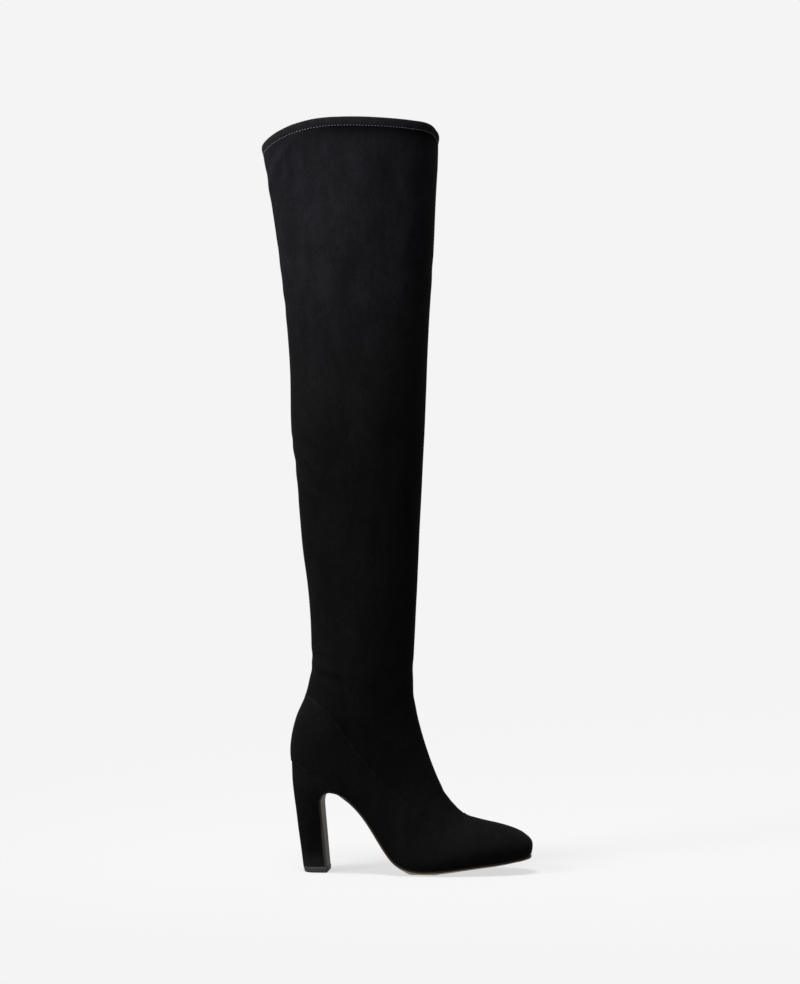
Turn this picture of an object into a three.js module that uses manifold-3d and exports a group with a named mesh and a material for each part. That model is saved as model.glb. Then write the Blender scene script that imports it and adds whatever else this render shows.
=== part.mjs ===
// Tall pull-on boot with a covered block heel, right foot, in millimetres.
// +X runs from heel to toe, +Y towards the inner side of the leg, +Z up. The boot stands on its top lift and the ball
// of the sole. Every curved piece comes from one form, the last with its leg: a family of flat sections, each drawn
// from a point on the front (or top) of the boot to a point on its back (or underside). The sections lie level up the
// leg, fan out round the ankle, and stand upright at the toe.
import * as THREE from "three";
import { mergeVertices } from "three/addons/utils/BufferGeometryUtils.js";
import Module from "manifold-3d";

const wasm = await Module();
wasm.setup();

// ---- driving sizes, mm ----
const WALL = 1.8;            // suede with its backing and lining
const GAP = 0.3;             // between pieces that touch
const COLLAR_TOP = 674.6;    // highest point of the collar, at the sides
const DIP_BACK = 21.8;        // how far the collar drops at the back
const DIP_FRONT = 12;        // and at the front
const HEM_DEEP = 7.5;        // turned and stitched hem
const HEM_PROUD = 0.7;
const SOLE_TUCK = 1.0;       // the sole's edge stands this far inside the upper
const LIFT_TALL = 5.3;       // top lift
const INSOLE_THICK = 2.2;
const LEVEL_STEP = 50;       // the leg's sections are this far apart
const LEG_TOP = 700;
const AROUND = 9;            // points in a quarter of a section
const CENTRE_X = 0.17;       // from the drawing's zero to the middle of the boot's length

// ---- sections of the last and leg ----
// fx, fz: point on the front or top   bx, bz: point on the back or underside   wide: full width
// low: where it is widest, as a share of the way from back to front   base: width at the underside, as a share
// shift: how far it leans to the inner side   crest: the same for its top   top, under: roundness (2 is an ellipse)
const SECTIONS = [
  { at: "above collar", fx: 38.4, fz: 700, bx: -128.4, bz: 700, wide: 103, low: 0.50, base: 0, shift: 0, crest: 0, top: 2.15, under: 2.15 },
  { at: "collar",       fx: 37.0, fz: 650, bx: -121.4, bz: 650, wide: 100, low: 0.50, base: 0, shift: 0, crest: 0, top: 2.15, under: 2.15 },
  { at: "thigh",        fx: 34.2, fz: 600, bx: -113.3, bz: 600, wide: 97,  low: 0.50, base: 0, shift: 0, crest: 0, top: 2.15, under: 2.15 },
  { at: "over knee",    fx: 31.6, fz: 550, bx: -105.9, bz: 550, wide: 95,  low: 0.50, base: 0, shift: 0, crest: 0, top: 2.1,  under: 2.1 },
  { at: "knee",         fx: 28.9, fz: 500, bx: -99.9, bz: 500, wide: 93,  low: 0.50, base: 0, shift: 0, crest: 0, top: 2.1,  under: 2.1 },
  { at: "under knee",   fx: 26.3, fz: 450, bx: -96.2,  bz: 450, wide: 91,  low: 0.50, base: 0, shift: 0, crest: 0, top: 2.1,  under: 2.1 },
  { at: "high calf",    fx: 24.6, fz: 400, bx: -95.2,  bz: 400, wide: 89,  low: 0.49, base: 0, shift: 0, crest: 0, top: 2.05, under: 2.1 },
  { at: "calf",         fx: 22.3, fz: 350, bx: -89.6,  bz: 350, wide: 85,  low: 0.48, base: 0, shift: 0, crest: 0, top: 2,    under: 2.1 },
  { at: "low calf",     fx: 19.7, fz: 300, bx: -85.3,  bz: 300, wide: 79,  low: 0.47, base: 0, shift: 0, crest: 0, top: 2,    under: 2.1 },
  { at: "shin",         fx: 17.3, fz: 250, bx: -79.6,  bz: 250, wide: 73,  low: 0.47, base: 0, shift: 0, crest: 0, top: 2,    under: 2.1 },
  { at: "over ankle",   fx: 15.6, fz: 210, bx: -77.1,  bz: 210, wide: 70,  low: 0.47, base: 0, shift: 0, crest: 0, top: 2,    under: 2.05 },
  { at: "ankle",        fx: 14.4, fz: 185, bx: -76.5,  bz: 184, wide: 69,  low: 0.46, base: 0, shift: 0, crest: 0, top: 2,    under: 2 },
  { at: "achilles",     fx: 14.2, fz: 169, bx: -82.3,  bz: 160, wide: 68.5, low: 0.45, base: 0, shift: 0, crest: 0.3, top: 1.95, under: 1.95 },
  { at: "heel top",     fx: 15.7, fz: 152, bx: -90.9,  bz: 140, wide: 67.5, low: 0.43, base: 0, shift: 0, crest: 0.5, top: 1.9,  under: 1.95 },
  { at: "heel bulge",   fx: 19.2, fz: 135, bx: -95.6,  bz: 120, wide: 65.5, low: 0.41, base: 0, shift: 0, crest: 0.8, top: 1.9,  under: 2 },
  { at: "heel seat",    fx: 23.7, fz: 118.5, bx: -96.1, bz: 102, wide: 63.5, low: 0.39, base: 0, shift: 0, crest: 1.1, top: 1.9, under: 2 },
  { at: "seat back",    fx: 28.4, fz: 104, bx: -91.8,  bz: 86, wide: 62.5, low: 0.38, base: 0.0, shift: -0.1, crest: 1.5, top: 1.9, under: 2 },
  { at: "seat",         fx: 33.0, fz: 92,  bx: -80.0,  bz: 79, wide: 61.5, low: 0.37, base: 0.42, shift: -0.4, crest: 2, top: 1.9, under: 2 },
  { at: "seat front",   fx: 38.0, fz: 80.6, bx: -64.0, bz: 70.5, wide: 60.5, low: 0.36, base: 0.55, shift: -0.9, crest: 2.6, top: 1.9, under: 2 },
  { at: "shank back",   fx: 43.2, fz: 70.6, bx: -48.0, bz: 61.5, wide: 60,  low: 0.35, base: 0.58, shift: -1.5, crest: 3.2, top: 1.9, under: 2 },
  { at: "shank",        fx: 49.0, fz: 62.8, bx: -34.0, bz: 49.5, wide: 61,  low: 0.34, base: 0.60, shift: -2.0, crest: 3.9, top: 1.9, under: 2 },
  { at: "waist",        fx: 55.6, fz: 56.2, bx: -21.5, bz: 32.5, wide: 64.5, low: 0.33, base: 0.62, shift: -2.1, crest: 4.6, top: 1.95, under: 2 },
  { at: "waist front",  fx: 63.0, fz: 51.5, bx: -10.0, bz: 15.0, wide: 71,  low: 0.32, base: 0.66, shift: -1.6, crest: 5.2, top: 1.95, under: 2 },
  { at: "joint outer",  fx: 72.0, fz: 48.6, bx: 6.0,   bz: 2.4, wide: 79,  low: 0.31, base: 0.70, shift: -0.4, crest: 5.8, top: 2, under: 2 },
  { at: "ball",         fx: 81.0, fz: 46.3, bx: 26.0,  bz: -0.6, wide: 84,  low: 0.31, base: 0.72, shift: 1.0, crest: 6.2, top: 2.05, under: 2 },
  { at: "joint inner",  fx: 89.6, fz: 44.4, bx: 46.0,  bz: 0.7, wide: 83,  low: 0.31, base: 0.73, shift: 2.4, crest: 6.4, top: 2.1, under: 2 },
  { at: "toes",         fx: 97.6, fz: 42.3, bx: 64.0,  bz: 2.9, wide: 77,  low: 0.32, base: 0.74, shift: 3.5, crest: 6.4, top: 2.15, under: 2 },
  { at: "toe box",      fx: 104.8, fz: 40.0, bx: 80.0, bz: 4.8, wide: 69,  low: 0.33, base: 0.75, shift: 4.2, crest: 6, top: 2.2, under: 2 },
  { at: "toe front",    fx: 111.0, fz: 37.3, bx: 94.0, bz: 6.2, wide: 59.5, low: 0.35, base: 0.76, shift: 4.6, crest: 5.6, top: 2.3, under: 2 },
  { at: "toe bend",     fx: 116.0, fz: 34.0, bx: 105.0, bz: 7.6, wide: 49.5, low: 0.38, base: 0.77, shift: 4.8, crest: 5.2, top: 2.4, under: 2 },
  { at: "tip side",     fx: 119.4, fz: 31.0, bx: 112.4, bz: 8.8, wide: 39.5, low: 0.42, base: 0.78, shift: 4.9, crest: 5, top: 2.5, under: 2 },
  { at: "tip round",    fx: 121.4, fz: 27.9, bx: 117.0, bz: 10.2, wide: 28, low: 0.46, base: 0.78, shift: 5, crest: 5, top: 2.6, under: 2 },
  { at: "tip",          fx: 122.0, fz: 24.8, bx: 120.2, bz: 12, wide: 13, low: 0.5, base: 0.78, shift: 5, crest: 5, top: 2.6, under: 2 },
];
const TIP = SECTIONS.length - 1;
const LEVEL_ROWS = 9;        // the first rows, evenly spaced up the leg

// how often each stretch of rows is divided for the mesh
const RINGS = [
  { from: 2, to: 9, each: 1 },
  { from: 9, to: 30, each: 2 },
  { from: 30, to: TIP, each: 1 },
];

// ---- seat line: top of the sole and of the heel, where the upper sits ----
const SEAT = [
  { x: -130, z: 118.6 }, { x: -97, z: 101.0 }, { x: -88.7, z: 96.6 }, { x: -82.4, z: 93.2 }, { x: -74.3, z: 88.8 },
  { x: -66.2, z: 84.5 }, { x: -59.0, z: 80.7 }, { x: -51.8, z: 76.6 }, { x: -45.5, z: 71.9 }, { x: -39.1, z: 65.7 },
  { x: -33.5, z: 60.0 }, { x: -27.9, z: 53.4 }, { x: -22.3, z: 45.6 }, { x: -16.8, z: 37.0 }, { x: -11.3, z: 28.3 },
  { x: -5.8, z: 20.2 }, { x: -0.5, z: 13.6 }, { x: 4.8, z: 9.5 }, { x: 10.0, z: 7.1 }, { x: 15.1, z: 5.7 },
  { x: 20.4, z: 4.9 }, { x: 25.6, z: 4.6 }, { x: 31.0, z: 4.7 }, { x: 41.6, z: 5.4 }, { x: 52.1, z: 6.6 },
  { x: 62.5, z: 7.9 }, { x: 78.2, z: 9.8 }, { x: 88.6, z: 11.0 }, { x: 99.0, z: 12.4 }, { x: 109.4, z: 14.2 },
  { x: 114.5, z: 15.4 }, { x: 119.5, z: 16.9 }, { x: 140, z: 24.5 },
];

// ---- outsole, from the foot of the heel's front up, over the arch and on to the toe ----
// x, z: lower edge line on the walking side   thick: at the edge   swell: extra in the middle   half: half width,
// or 0 where it follows the upper
const SOLE = [
  { x: -61.6, z: 5.6,  thick: 2.3, swell: 0.3, half: 14.6 },
  { x: -62.6, z: 16,   thick: 2.3, swell: 0.3, half: 14.9 },
  { x: -64.4, z: 35,   thick: 2.4, swell: 0.3, half: 15.9 },
  { x: -66.2, z: 53,   thick: 2.6, swell: 0.3, half: 17.2 },
  { x: -66.9, z: 62,   thick: 2.7, swell: 0.3, half: 18.4 },
  { x: -66.2, z: 66.8, thick: 2.7, swell: 0.3, half: 19.2 },
  { x: -63.9, z: 70.3, thick: 2.6, swell: 0.3, half: 19.9 },
  { x: -60.5, z: 71.8, thick: 2.5, swell: 0.3, half: 20.4 },
  { x: -57.0, z: 71.8, thick: 2.4, swell: 0.3, half: 20.8 },
  { x: -51.5, z: 70.4, thick: 2.3, swell: 0.3, half: 21.4 },
  { x: -46.0, z: 67.6, thick: 2.3, swell: 0.3, half: 0 },
  { x: -40.6, z: 63.4, thick: 2.3, swell: 0.3, half: 0 },
  { x: -35.2, z: 58.2, thick: 2.3, swell: 0.3, half: 0 },
  { x: -29.7, z: 51.8, thick: 2.3, swell: 0.3, half: 0 },
  { x: -24.2, z: 44.2, thick: 2.3, swell: 0.3, half: 0 },
  { x: -18.7, z: 35.6, thick: 2.3, swell: 0.3, half: 0 },
  { x: -13.2, z: 26.9, thick: 2.3, swell: 0.3, half: 0 },
  { x: -7.7,  z: 18.8, thick: 2.3, swell: 0.5, half: 0 },
  { x: -2.1,  z: 11.9, thick: 2.3, swell: 0.9, half: 0 },
  { x: 3.6,   z: 7.5,  thick: 2.3, swell: 1.5, half: 0 },
  { x: 9.2,   z: 4.9,  thick: 2.3, swell: 2.4, half: 0 },
  { x: 14.7,  z: 3.4,  thick: 2.3, swell: 3.6, half: 0 },
  { x: 20.2,  z: 2.6,  thick: 2.3, swell: 2.8, half: 0 },
  { x: 25.6,  z: 2.3,  thick: 2.3, swell: 2.5, half: 0 },
  { x: 31.0,  z: 2.4,  thick: 2.3, swell: 2.6, half: 0 },
  { x: 36.5,  z: 2.7,  thick: 2.3, swell: 2.9, half: 0 },
  { x: 42.0,  z: 3.1,  thick: 2.3, swell: 2.4, half: 0 },
  { x: 52.3,  z: 4.3,  thick: 2.3, swell: 2.2, half: 0 },
  { x: 62.7,  z: 5.6,  thick: 2.3, swell: 2.0, half: 0 },
  { x: 78.4,  z: 7.5,  thick: 2.3, swell: 1.8, half: 0 },
  { x: 88.8,  z: 8.6,  thick: 2.3, swell: 1.6, half: 0 },
  { x: 99.2,  z: 10.0, thick: 2.3, swell: 1.3, half: 0 },
  { x: 106.0, z: 11.2, thick: 2.3, swell: 1.0, half: 0 },
  { x: 111.5, z: 12.0, thick: 2.3, swell: 0.8, half: 0 },
  { x: 115.6, z: 12.8, thick: 2.3, swell: 0.6, half: 0 },
  { x: 118.6, z: 13.5, thick: 2.3, swell: 0.4, half: 0 },
  { x: 120.3, z: 14.1, thick: 2.3, swell: 0.2, half: 0 },
];
const ACROSS = [ // share of the half width, and how much of the swell is there
  { y: -1, swell: 0 }, { y: -0.9, swell: 0.4 }, { y: -0.72, swell: 0.8 }, { y: -0.5, swell: 1 }, { y: 0.5, swell: 1 },
  { y: 0.72, swell: 0.8 }, { y: 0.9, swell: 0.4 }, { y: 1, swell: 0 },
];

// ---- covered heel: level at the tip, tilting up to the seat ----
// bx, bz: back   fx, fz: front, ahead of the sole's flap that trims it   half: half width   round: length of the
// rounded back   seat: how much of its outline is the seat's
const HEEL = [
  { bx: -95.6, bz: 104.0, fx: -36.0, fz: 72,  half: 25.5, round: 36, seat: 1 },
  { bx: -95.4, bz: 100.6, fx: -36.0, fz: 68,  half: 25.5, round: 36, seat: 1 },
  { bx: -95.1, bz: 93.0,  fx: -40.0, fz: 62,  half: 24.0, round: 32, seat: 0.8 },
  { bx: -94.7, bz: 83.0,  fx: -46.0, fz: 56,  half: 21.8, round: 27, seat: 0.5 },
  { bx: -93.4, bz: 71.0,  fx: -52.0, fz: 50,  half: 19.6, round: 22, seat: 0.25 },
  { bx: -91.2, bz: 54.8,  fx: -54.0, fz: 41,  half: 17.6, round: 17, seat: 0.1 },
  { bx: -89.2, bz: 38.5,  fx: -54.0, fz: 30,  half: 16.2, round: 13.5, seat: 0 },
  { bx: -86.9, bz: 22.3,  fx: -54.0, fz: 18,  half: 15.2, round: 11, seat: 0 },
  { bx: -84.7, bz: 5.6,   fx: -54.0, fz: 5.6, half: 14.8, round: 9.5, seat: 0 },
];
const HEEL_FRONT_SHARE = 0.97;  // the heel is this much narrower at its front
const WING_END = -46.5;         // where the heel's wing under the waist stops
const LIFT = [
  { back: -84.7, front: -61.0, half: 14.8, z: LIFT_TALL },
  { back: -84.3, front: -61.3, half: 14.9, z: 0.7 },
  { back: -83.6, front: -62.0, half: 14.3, z: 0 },
];

// ---- topline between foot part and leg, seen from the side ----
const TOPLINE = [
  { x: -150, z: 168 }, { x: -92, z: 164.6 }, { x: -84, z: 161.4 }, { x: -74.5, z: 156.6 }, { x: -64.7, z: 149.7 },
  { x: -56.5, z: 142 }, { x: -48.1, z: 131.3 }, { x: -39.9, z: 119.4 }, { x: -26.4, z: 101.3 }, { x: -7.5, z: 81.2 },
  { x: 4.1, z: 70.8 }, { x: 15.0, z: 61.6 }, { x: 22.0, z: 55.0 }, { x: 28.4, z: 49.6 }, { x: 34.0, z: 46.2 },
  { x: 40.4, z: 44.7 }, { x: 48.1, z: 45.2 }, { x: 54.7, z: 47.4 }, { x: 58.6, z: 50.4 }, { x: 60.6, z: 54.5 },
  { x: 61.4, z: 60 },
];

// ---- helpers ----
const lerp = (a, b, u) => a + (b - a) * u;
const clamp01 = (u) => Math.min(1, Math.max(0, u));

function blend(rows, key, t) {            // smooth curve through a column of a table
  const n = rows.length - 1, k = Math.max(0, Math.min(Math.floor(t), n - 1)), u = t - k;
  const p1 = rows[k][key], p2 = rows[k + 1][key];
  const p0 = k > 0 ? rows[k - 1][key] : 2 * p1 - p2, p3 = k < n - 1 ? rows[k + 2][key] : 2 * p2 - p1;
  return 0.5 * (2 * p1 + (p2 - p0) * u + (2 * p0 - 5 * p1 + 4 * p2 - p3) * u * u + (3 * p1 - p0 - 3 * p2 + p3) * u ** 3);
}

const COLUMNS = ["fx", "fz", "bx", "bz", "wide", "low", "base", "shift", "crest", "top", "under"];
function section(t) {
  const row = {};
  for (const key of COLUMNS) row[key] = blend(SECTIONS, key, t);
  row.base = Math.max(0, row.base);
  return row;
}

function halfWidth(row, s) {              // at a share s of the way from back (or underside) to front (or top)
  const b = row.wide / 2, base = row.base * b;
  if (s < row.low) {
    const q = clamp01((row.low - s) / row.low);
    return base + (b - base) * (1 - q ** row.under) ** (1 / row.under);
  }
  const q = clamp01((s - row.low) / (1 - row.low));
  return b * (1 - q ** row.top) ** (1 / row.top);
}
const middle = (row, s) => row.shift + (row.crest - row.shift) * clamp01(s) ** 2;

function sectionPoint(row, s, side, w) {
  return new THREE.Vector3(lerp(row.bx, row.fx, s), middle(row, s) + side * w, lerp(row.bz, row.fz, s));
}

// one ring of a section, from the top down the outer side, under, and up the inner side
function ringShares(row) {
  const out = [];
  for (let k = 0; k <= AROUND; k++) {
    const a = (k / AROUND) * Math.PI / 2;
    out.push({ s: row.low + (1 - row.low) * Math.cos(a) ** (2 / row.top), w: row.wide / 2 * Math.sin(a) ** (2 / row.top) });
  }
  const b = row.wide / 2, base = row.base * b;
  for (let k = AROUND - 1; k >= 0; k--) {
    const a = (k / AROUND) * Math.PI / 2;
    out.push({ s: row.low * (1 - Math.cos(a) ** (2 / row.under)), w: base + (b - base) * Math.sin(a) ** (2 / row.under) });
  }
  out[0].w = 0;
  return out;
}
function ring(row) {
  const shares = ringShares(row), pts = [];
  for (const p of shares) pts.push(sectionPoint(row, p.s, -1, p.w));
  for (let k = shares.length - 1; k > 0; k--) pts.push(sectionPoint(row, shares[k].s, 1, shares[k].w));
  return pts;
}

// height of the collar's edge, by the angle round the leg from the back
function collarHeight(angle) {
  const c = Math.cos(angle);
  const dip = c > 0 ? DIP_BACK * c ** 2.3 : DIP_FRONT * (0.35 * c * c + 0.65 * c ** 24);
  return COLLAR_TOP - dip;
}
// a ring near the collar: each point lies a set depth under the collar's edge, or on the way to the level row
function collarRing(down, share, proud) {
  const pts = [], base = ring(section(1)), c = section(1);
  const mx = (c.fx + c.bx) / 2, a = (c.fx - c.bx) / 2, b = c.wide / 2;
  for (let k = 0; k < base.length; k++) {
    const angle = Math.atan2(base[k].y / b, -(base[k].x - mx) / a);
    const z = lerp(600, collarHeight(angle) - down, share);
    const row = section((LEG_TOP - z) / LEVEL_STEP), p = ring(row)[k];
    const out = new THREE.Vector3((base[k].x - mx) / a ** 2, base[k].y / b ** 2, 0).normalize();
    pts.push(new THREE.Vector3(p.x + out.x * proud, p.y + out.y * proud, z));
  }
  return pts;
}

// ---- closed meshes ----
function solidFrom(positions, faces) {
  let g = new THREE.BufferGeometry();
  g.setAttribute("position", new THREE.Float32BufferAttribute(positions.flatMap((p) => [p.x, p.y, p.z]), 3));
  g.setIndex(faces.flat());
  g = mergeVertices(g, 1e-4);
  const old = g.index.array, kept = [];
  for (let i = 0; i < old.length; i += 3) {
    const [a, b, c] = [old[i], old[i + 1], old[i + 2]];
    if (a !== b && b !== c && a !== c) kept.push(a, b, c);
  }
  g.setIndex(kept);
  return volume(g) < 0 ? flipped(g) : g;
}
function volume(g) {
  const p = g.attributes.position, a = new THREE.Vector3(), b = new THREE.Vector3(), c = new THREE.Vector3();
  let v = 0;
  for (let i = 0; i < g.index.count; i += 3) {
    a.fromBufferAttribute(p, g.index.getX(i)); b.fromBufferAttribute(p, g.index.getX(i + 1)); c.fromBufferAttribute(p, g.index.getX(i + 2));
    v += a.dot(b.cross(c)) / 6;
  }
  return v;
}
function flipped(g) {
  const idx = Array.from(g.index.array);
  for (let i = 0; i < idx.length; i += 3) [idx[i], idx[i + 1]] = [idx[i + 1], idx[i]];
  g.setIndex(idx);
  return g;
}
function loft(rings) {                    // closed skin over rings of equal length, capped at both ends
  const n = rings[0].length, positions = rings.flat(), faces = [];
  for (let r = 0; r < rings.length - 1; r++) for (let k = 0; k < n; k++) {
    const a = r * n + k, b = r * n + (k + 1) % n, c = a + n, d = b + n;
    faces.push([a, b, d], [a, d, c]);
  }
  for (const [r, turn] of [[0, true], [rings.length - 1, false]]) {
    const hub = positions.length, mid = new THREE.Vector3();
    for (const p of rings[r]) mid.add(p);
    positions.push(mid.divideScalar(n));
    for (let k = 0; k < n; k++) {
      const a = r * n + k, b = r * n + (k + 1) % n;
      faces.push(turn ? [b, a, hub] : [a, b, hub]);
    }
  }
  return solidFrom(positions, faces);
}
function shrink(g, by) {                  // every point moves in along its own normal
  g.computeVertexNormals();
  const p = g.attributes.position, n = g.attributes.normal, q = g.clone();
  for (let i = 0; i < p.count; i++) {
    q.attributes.position.setXYZ(i, p.getX(i) - n.getX(i) * by, p.getY(i) - n.getY(i) * by, p.getZ(i) - n.getZ(i) * by);
  }
  q.deleteAttribute("normal");
  g.deleteAttribute("normal");
  return q;
}
function toManifold(g) {
  return new wasm.Manifold(new wasm.Mesh({
    numProp: 3, vertProperties: Float32Array.from(g.attributes.position.array), triVerts: Uint32Array.from(g.index.array),
  }));
}
function toGeometry(m) {
  const mesh = m.getMesh(), g = new THREE.BufferGeometry();
  g.setAttribute("position", new THREE.Float32BufferAttribute(Float32Array.from(mesh.vertProperties), 3));
  g.setIndex(Array.from(mesh.triVerts));
  return g;
}
function slab(outline, deep = 240) {      // side-view outline, carried right through the boot
  const shape = new THREE.Shape(outline.map((p) => new THREE.Vector2(p.x, p.z)));
  let g = new THREE.ExtrudeGeometry(shape, { depth: deep, bevelEnabled: false });
  g.translate(0, 0, -deep / 2);
  g.rotateX(Math.PI / 2);
  g.deleteAttribute("normal");
  g.deleteAttribute("uv");
  g = mergeVertices(g, 1e-4);
  return toManifold(volume(g) < 0 ? flipped(g) : g);
}
function offsetLine(line, by) {           // moves a side-view line to its left
  return line.map((p, i) => {
    const a = line[Math.max(0, i - 1)], b = line[Math.min(line.length - 1, i + 1)];
    const dx = b.x - a.x, dz = b.z - a.z, l = Math.hypot(dx, dz);
    return { x: p.x - dz / l * by, z: p.z + dx / l * by };
  });
}

// ---- the last and leg ----
function form({ hem, above }) {
  const rings = [];
  if (hem) {
    rings.push(collarRing(0, 1, HEM_PROUD * 0.3), collarRing(1.2, 1, HEM_PROUD), collarRing(HEM_DEEP - 0.8, 1, HEM_PROUD), collarRing(HEM_DEEP, 1, 0));
  } else {
    rings.push(collarRing(0, 1, 0).map((p) => p.setZ(p.z + above)), collarRing(0, 1, 0));
  }
  rings.push(collarRing(0, 0.72, 0), collarRing(0, 0.36, 0));
  for (const span of RINGS) {
    for (let t = span.from; t < span.to; t += 1 / span.each) rings.push(ring(section(t)));
  }
  rings.push(ring(section(TIP)));
  return loft(rings);
}
const outer = toManifold(form({ hem: true, above: 0 }));
const inner = toManifold(shrink(form({ hem: false, above: 14 }), WALL));
const shell = outer.subtract(inner);

const seatUp = offsetLine(SEAT, GAP);
const underSeat = slab([...seatUp, { x: 140, z: -60 }, { x: -130, z: -60 }]);
const legSide = slab([...TOPLINE, { x: 150, z: 130 }, { x: 150, z: 760 }, { x: -150, z: 760 }]);
const toplineDown = offsetLine(TOPLINE, -GAP);
const footSide = slab([...toplineDown.slice().reverse(), { x: -150, z: -60 }, { x: 150, z: -60 }, { x: 150, z: 129 }]);

const shaft = shell.intersect(legSide);
const upper = shell.intersect(footSide).subtract(underSeat);

// ---- width of the form at a point of its side view ----
function shareAt(x, z) {
  const side = (t) => {
    const r = section(t);
    return (r.fx - r.bx) * (z - r.bz) - (r.fz - r.bz) * (x - r.bx);
  };
  let lo = 0, hi = TIP;                   // the point is under the first lines and over the last
  if (side(hi) < 0) return { row: section(hi), s: 1 };
  for (let i = 0; i < 40; i++) {
    const mid = (lo + hi) / 2;
    if (side(mid) < 0) lo = mid; else hi = mid;
  }
  const row = section((lo + hi) / 2);
  return { row, s: ((x - row.bx) * (row.fx - row.bx) + (z - row.bz) * (row.fz - row.bz)) / ((row.fx - row.bx) ** 2 + (row.fz - row.bz) ** 2) };
}
function edges(x, z) {                    // outer (-Y) and inner (+Y) edge of the form there
  const { row, s } = shareAt(x, z), w = s <= 0 || s >= 1 ? 0 : halfWidth(row, s), m = middle(row, s);
  return { out: m - w, in: m + w, w };
}

const zOn = (line, x) => {                // height of a side-view line at x
  let k = 0;
  while (k < line.length - 2 && line[k + 1].x < x) k++;
  return lerp(line[k].z, line[k + 1].z, (x - line[k].x) / (line[k + 1].x - line[k].x));
};

// ---- outsole ----
function soleNormals() {                  // away from the walking side, into the boot
  return SOLE.map((p, i) => {
    const a = SOLE[Math.max(0, i - 1)], b = SOLE[Math.min(SOLE.length - 1, i + 1)];
    const dx = b.x - a.x, dz = b.z - a.z, l = Math.hypot(dx, dz);
    const first = i < 1;                  // the flap ends level with the heel
    return first ? { x: -1, z: 0 } : { x: -dz / l, z: dx / l };
  });
}
const soleUp = soleNormals();
// the flap climbs towards -X on its inside, the arch and forefoot towards +Z
const soleTop = SOLE.map((p, i) => ({ x: p.x + soleUp[i].x * p.thick, z: p.z + soleUp[i].z * p.thick }));
function soleHalves(i) {
  const p = SOLE[i];
  if (p.half > 0) return { out: -p.half, in: p.half };
  const e = edges(soleTop[i].x, soleTop[i].z + GAP), tuck = Math.min(SOLE_TUCK, e.w * 0.25);
  return { out: e.out + tuck, in: e.in - tuck };
}
const soleRings = SOLE.map((p, i) => {
  const h = soleHalves(i), n = soleUp[i], mid = (h.out + h.in) / 2, half = (h.in - h.out) / 2;
  const pts = ACROSS.map((c) => new THREE.Vector3(p.x - n.x * p.swell * c.swell, mid + half * c.y, p.z - n.z * p.swell * c.swell));
  for (const y of [1, 0.5, -0.5, -1]) pts.push(new THREE.Vector3(soleTop[i].x, mid + half * y, soleTop[i].z));
  return pts;
});
const floorBlock = (() => {
  const g = new THREE.BoxGeometry(400, 240, 40);
  g.translate(0, 0, -20);
  g.deleteAttribute("normal");
  g.deleteAttribute("uv");
  return toManifold(mergeVertices(g, 1e-4));
})();
const overSeat = slab([...SEAT, { x: 140, z: 200 }, { x: -130, z: 200 }]);
const outsole = toManifold(loft(soleRings)).subtract(floorBlock).subtract(overSeat);

// ---- heel and top lift ----
function heelRing(row) {
  const pts = [], N = 12, L = Math.hypot(row.fx - row.bx, row.fz - row.bz), shape = [];
  for (let k = 0; k <= N; k++) {          // rounded back, then straight sides
    const a = (k / N) * Math.PI / 2, d = row.round * (1 - Math.cos(a)) / L;
    shape.push({ u: d, w: row.half * Math.sin(a) });
  }
  shape.push({ u: 0.75, w: row.half * lerp(1, HEEL_FRONT_SHARE, 0.7) }, { u: 1, w: row.half * HEEL_FRONT_SHARE });
  const side = (sign) => shape.map((p) => {
    const x = lerp(row.bx, row.fx, p.u), z = lerp(row.bz, row.fz, p.u);
    const sx = lerp(-95.9, -36, p.u), e = edges(sx, zOn(SEAT, sx) + GAP);   // the seat's own outline
    const seat = sign < 0 ? e.out : e.in;
    return new THREE.Vector3(x, lerp(sign * p.w, p.u === 0 ? 0 : seat, row.seat), z);
  });
  pts.push(...side(-1));
  pts.push(...side(1).slice(1).reverse());
  return pts;
}
const soleLine = offsetLine(soleTop, GAP);
const wingX = WING_END;
const frontOfHeel = slab([
  { x: soleLine[0].x, z: -20 }, { x: soleLine[0].x, z: SOLE[0].z },
  ...soleLine.filter((p, i) => i > 0 && p.x < wingX), { x: wingX, z: zOn(soleLine.filter((p, i) => i > 6), wingX) },
  { x: wingX, z: 140 }, { x: 60, z: 140 }, { x: 60, z: -20 },
]);
const heel = toManifold(loft(HEEL.map(heelRing))).subtract(overSeat).subtract(frontOfHeel);

const liftRings = LIFT.map((r) => {
  const pts = [], N = 8, corner = 9.5;
  for (let k = 0; k <= N; k++) {
    const a = (k / N) * Math.PI / 2;
    pts.push(new THREE.Vector3(r.back + corner * (1 - Math.cos(a)), -r.half * Math.sin(a), r.z));
  }
  pts.push(new THREE.Vector3(r.front, -r.half, r.z), new THREE.Vector3(r.front, r.half, r.z));
  for (let k = N; k > 0; k--) {
    const a = (k / N) * Math.PI / 2;
    pts.push(new THREE.Vector3(r.back + corner * (1 - Math.cos(a)), r.half * Math.sin(a), r.z));
  }
  return pts;
});
const topLift = toManifold(loft(liftRings));

// ---- insole: board and sock on the seat line, filling the inside of the form between the walls ----
const insoleLine = (by) => offsetLine(SEAT.slice(0, -1), by);
const insoleStrip = slab([...insoleLine(GAP), ...insoleLine(GAP + INSOLE_THICK).reverse()]);
const insole = toManifold(shrink(form({ hem: false, above: 14 }), WALL + GAP)).intersect(insoleStrip);

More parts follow.
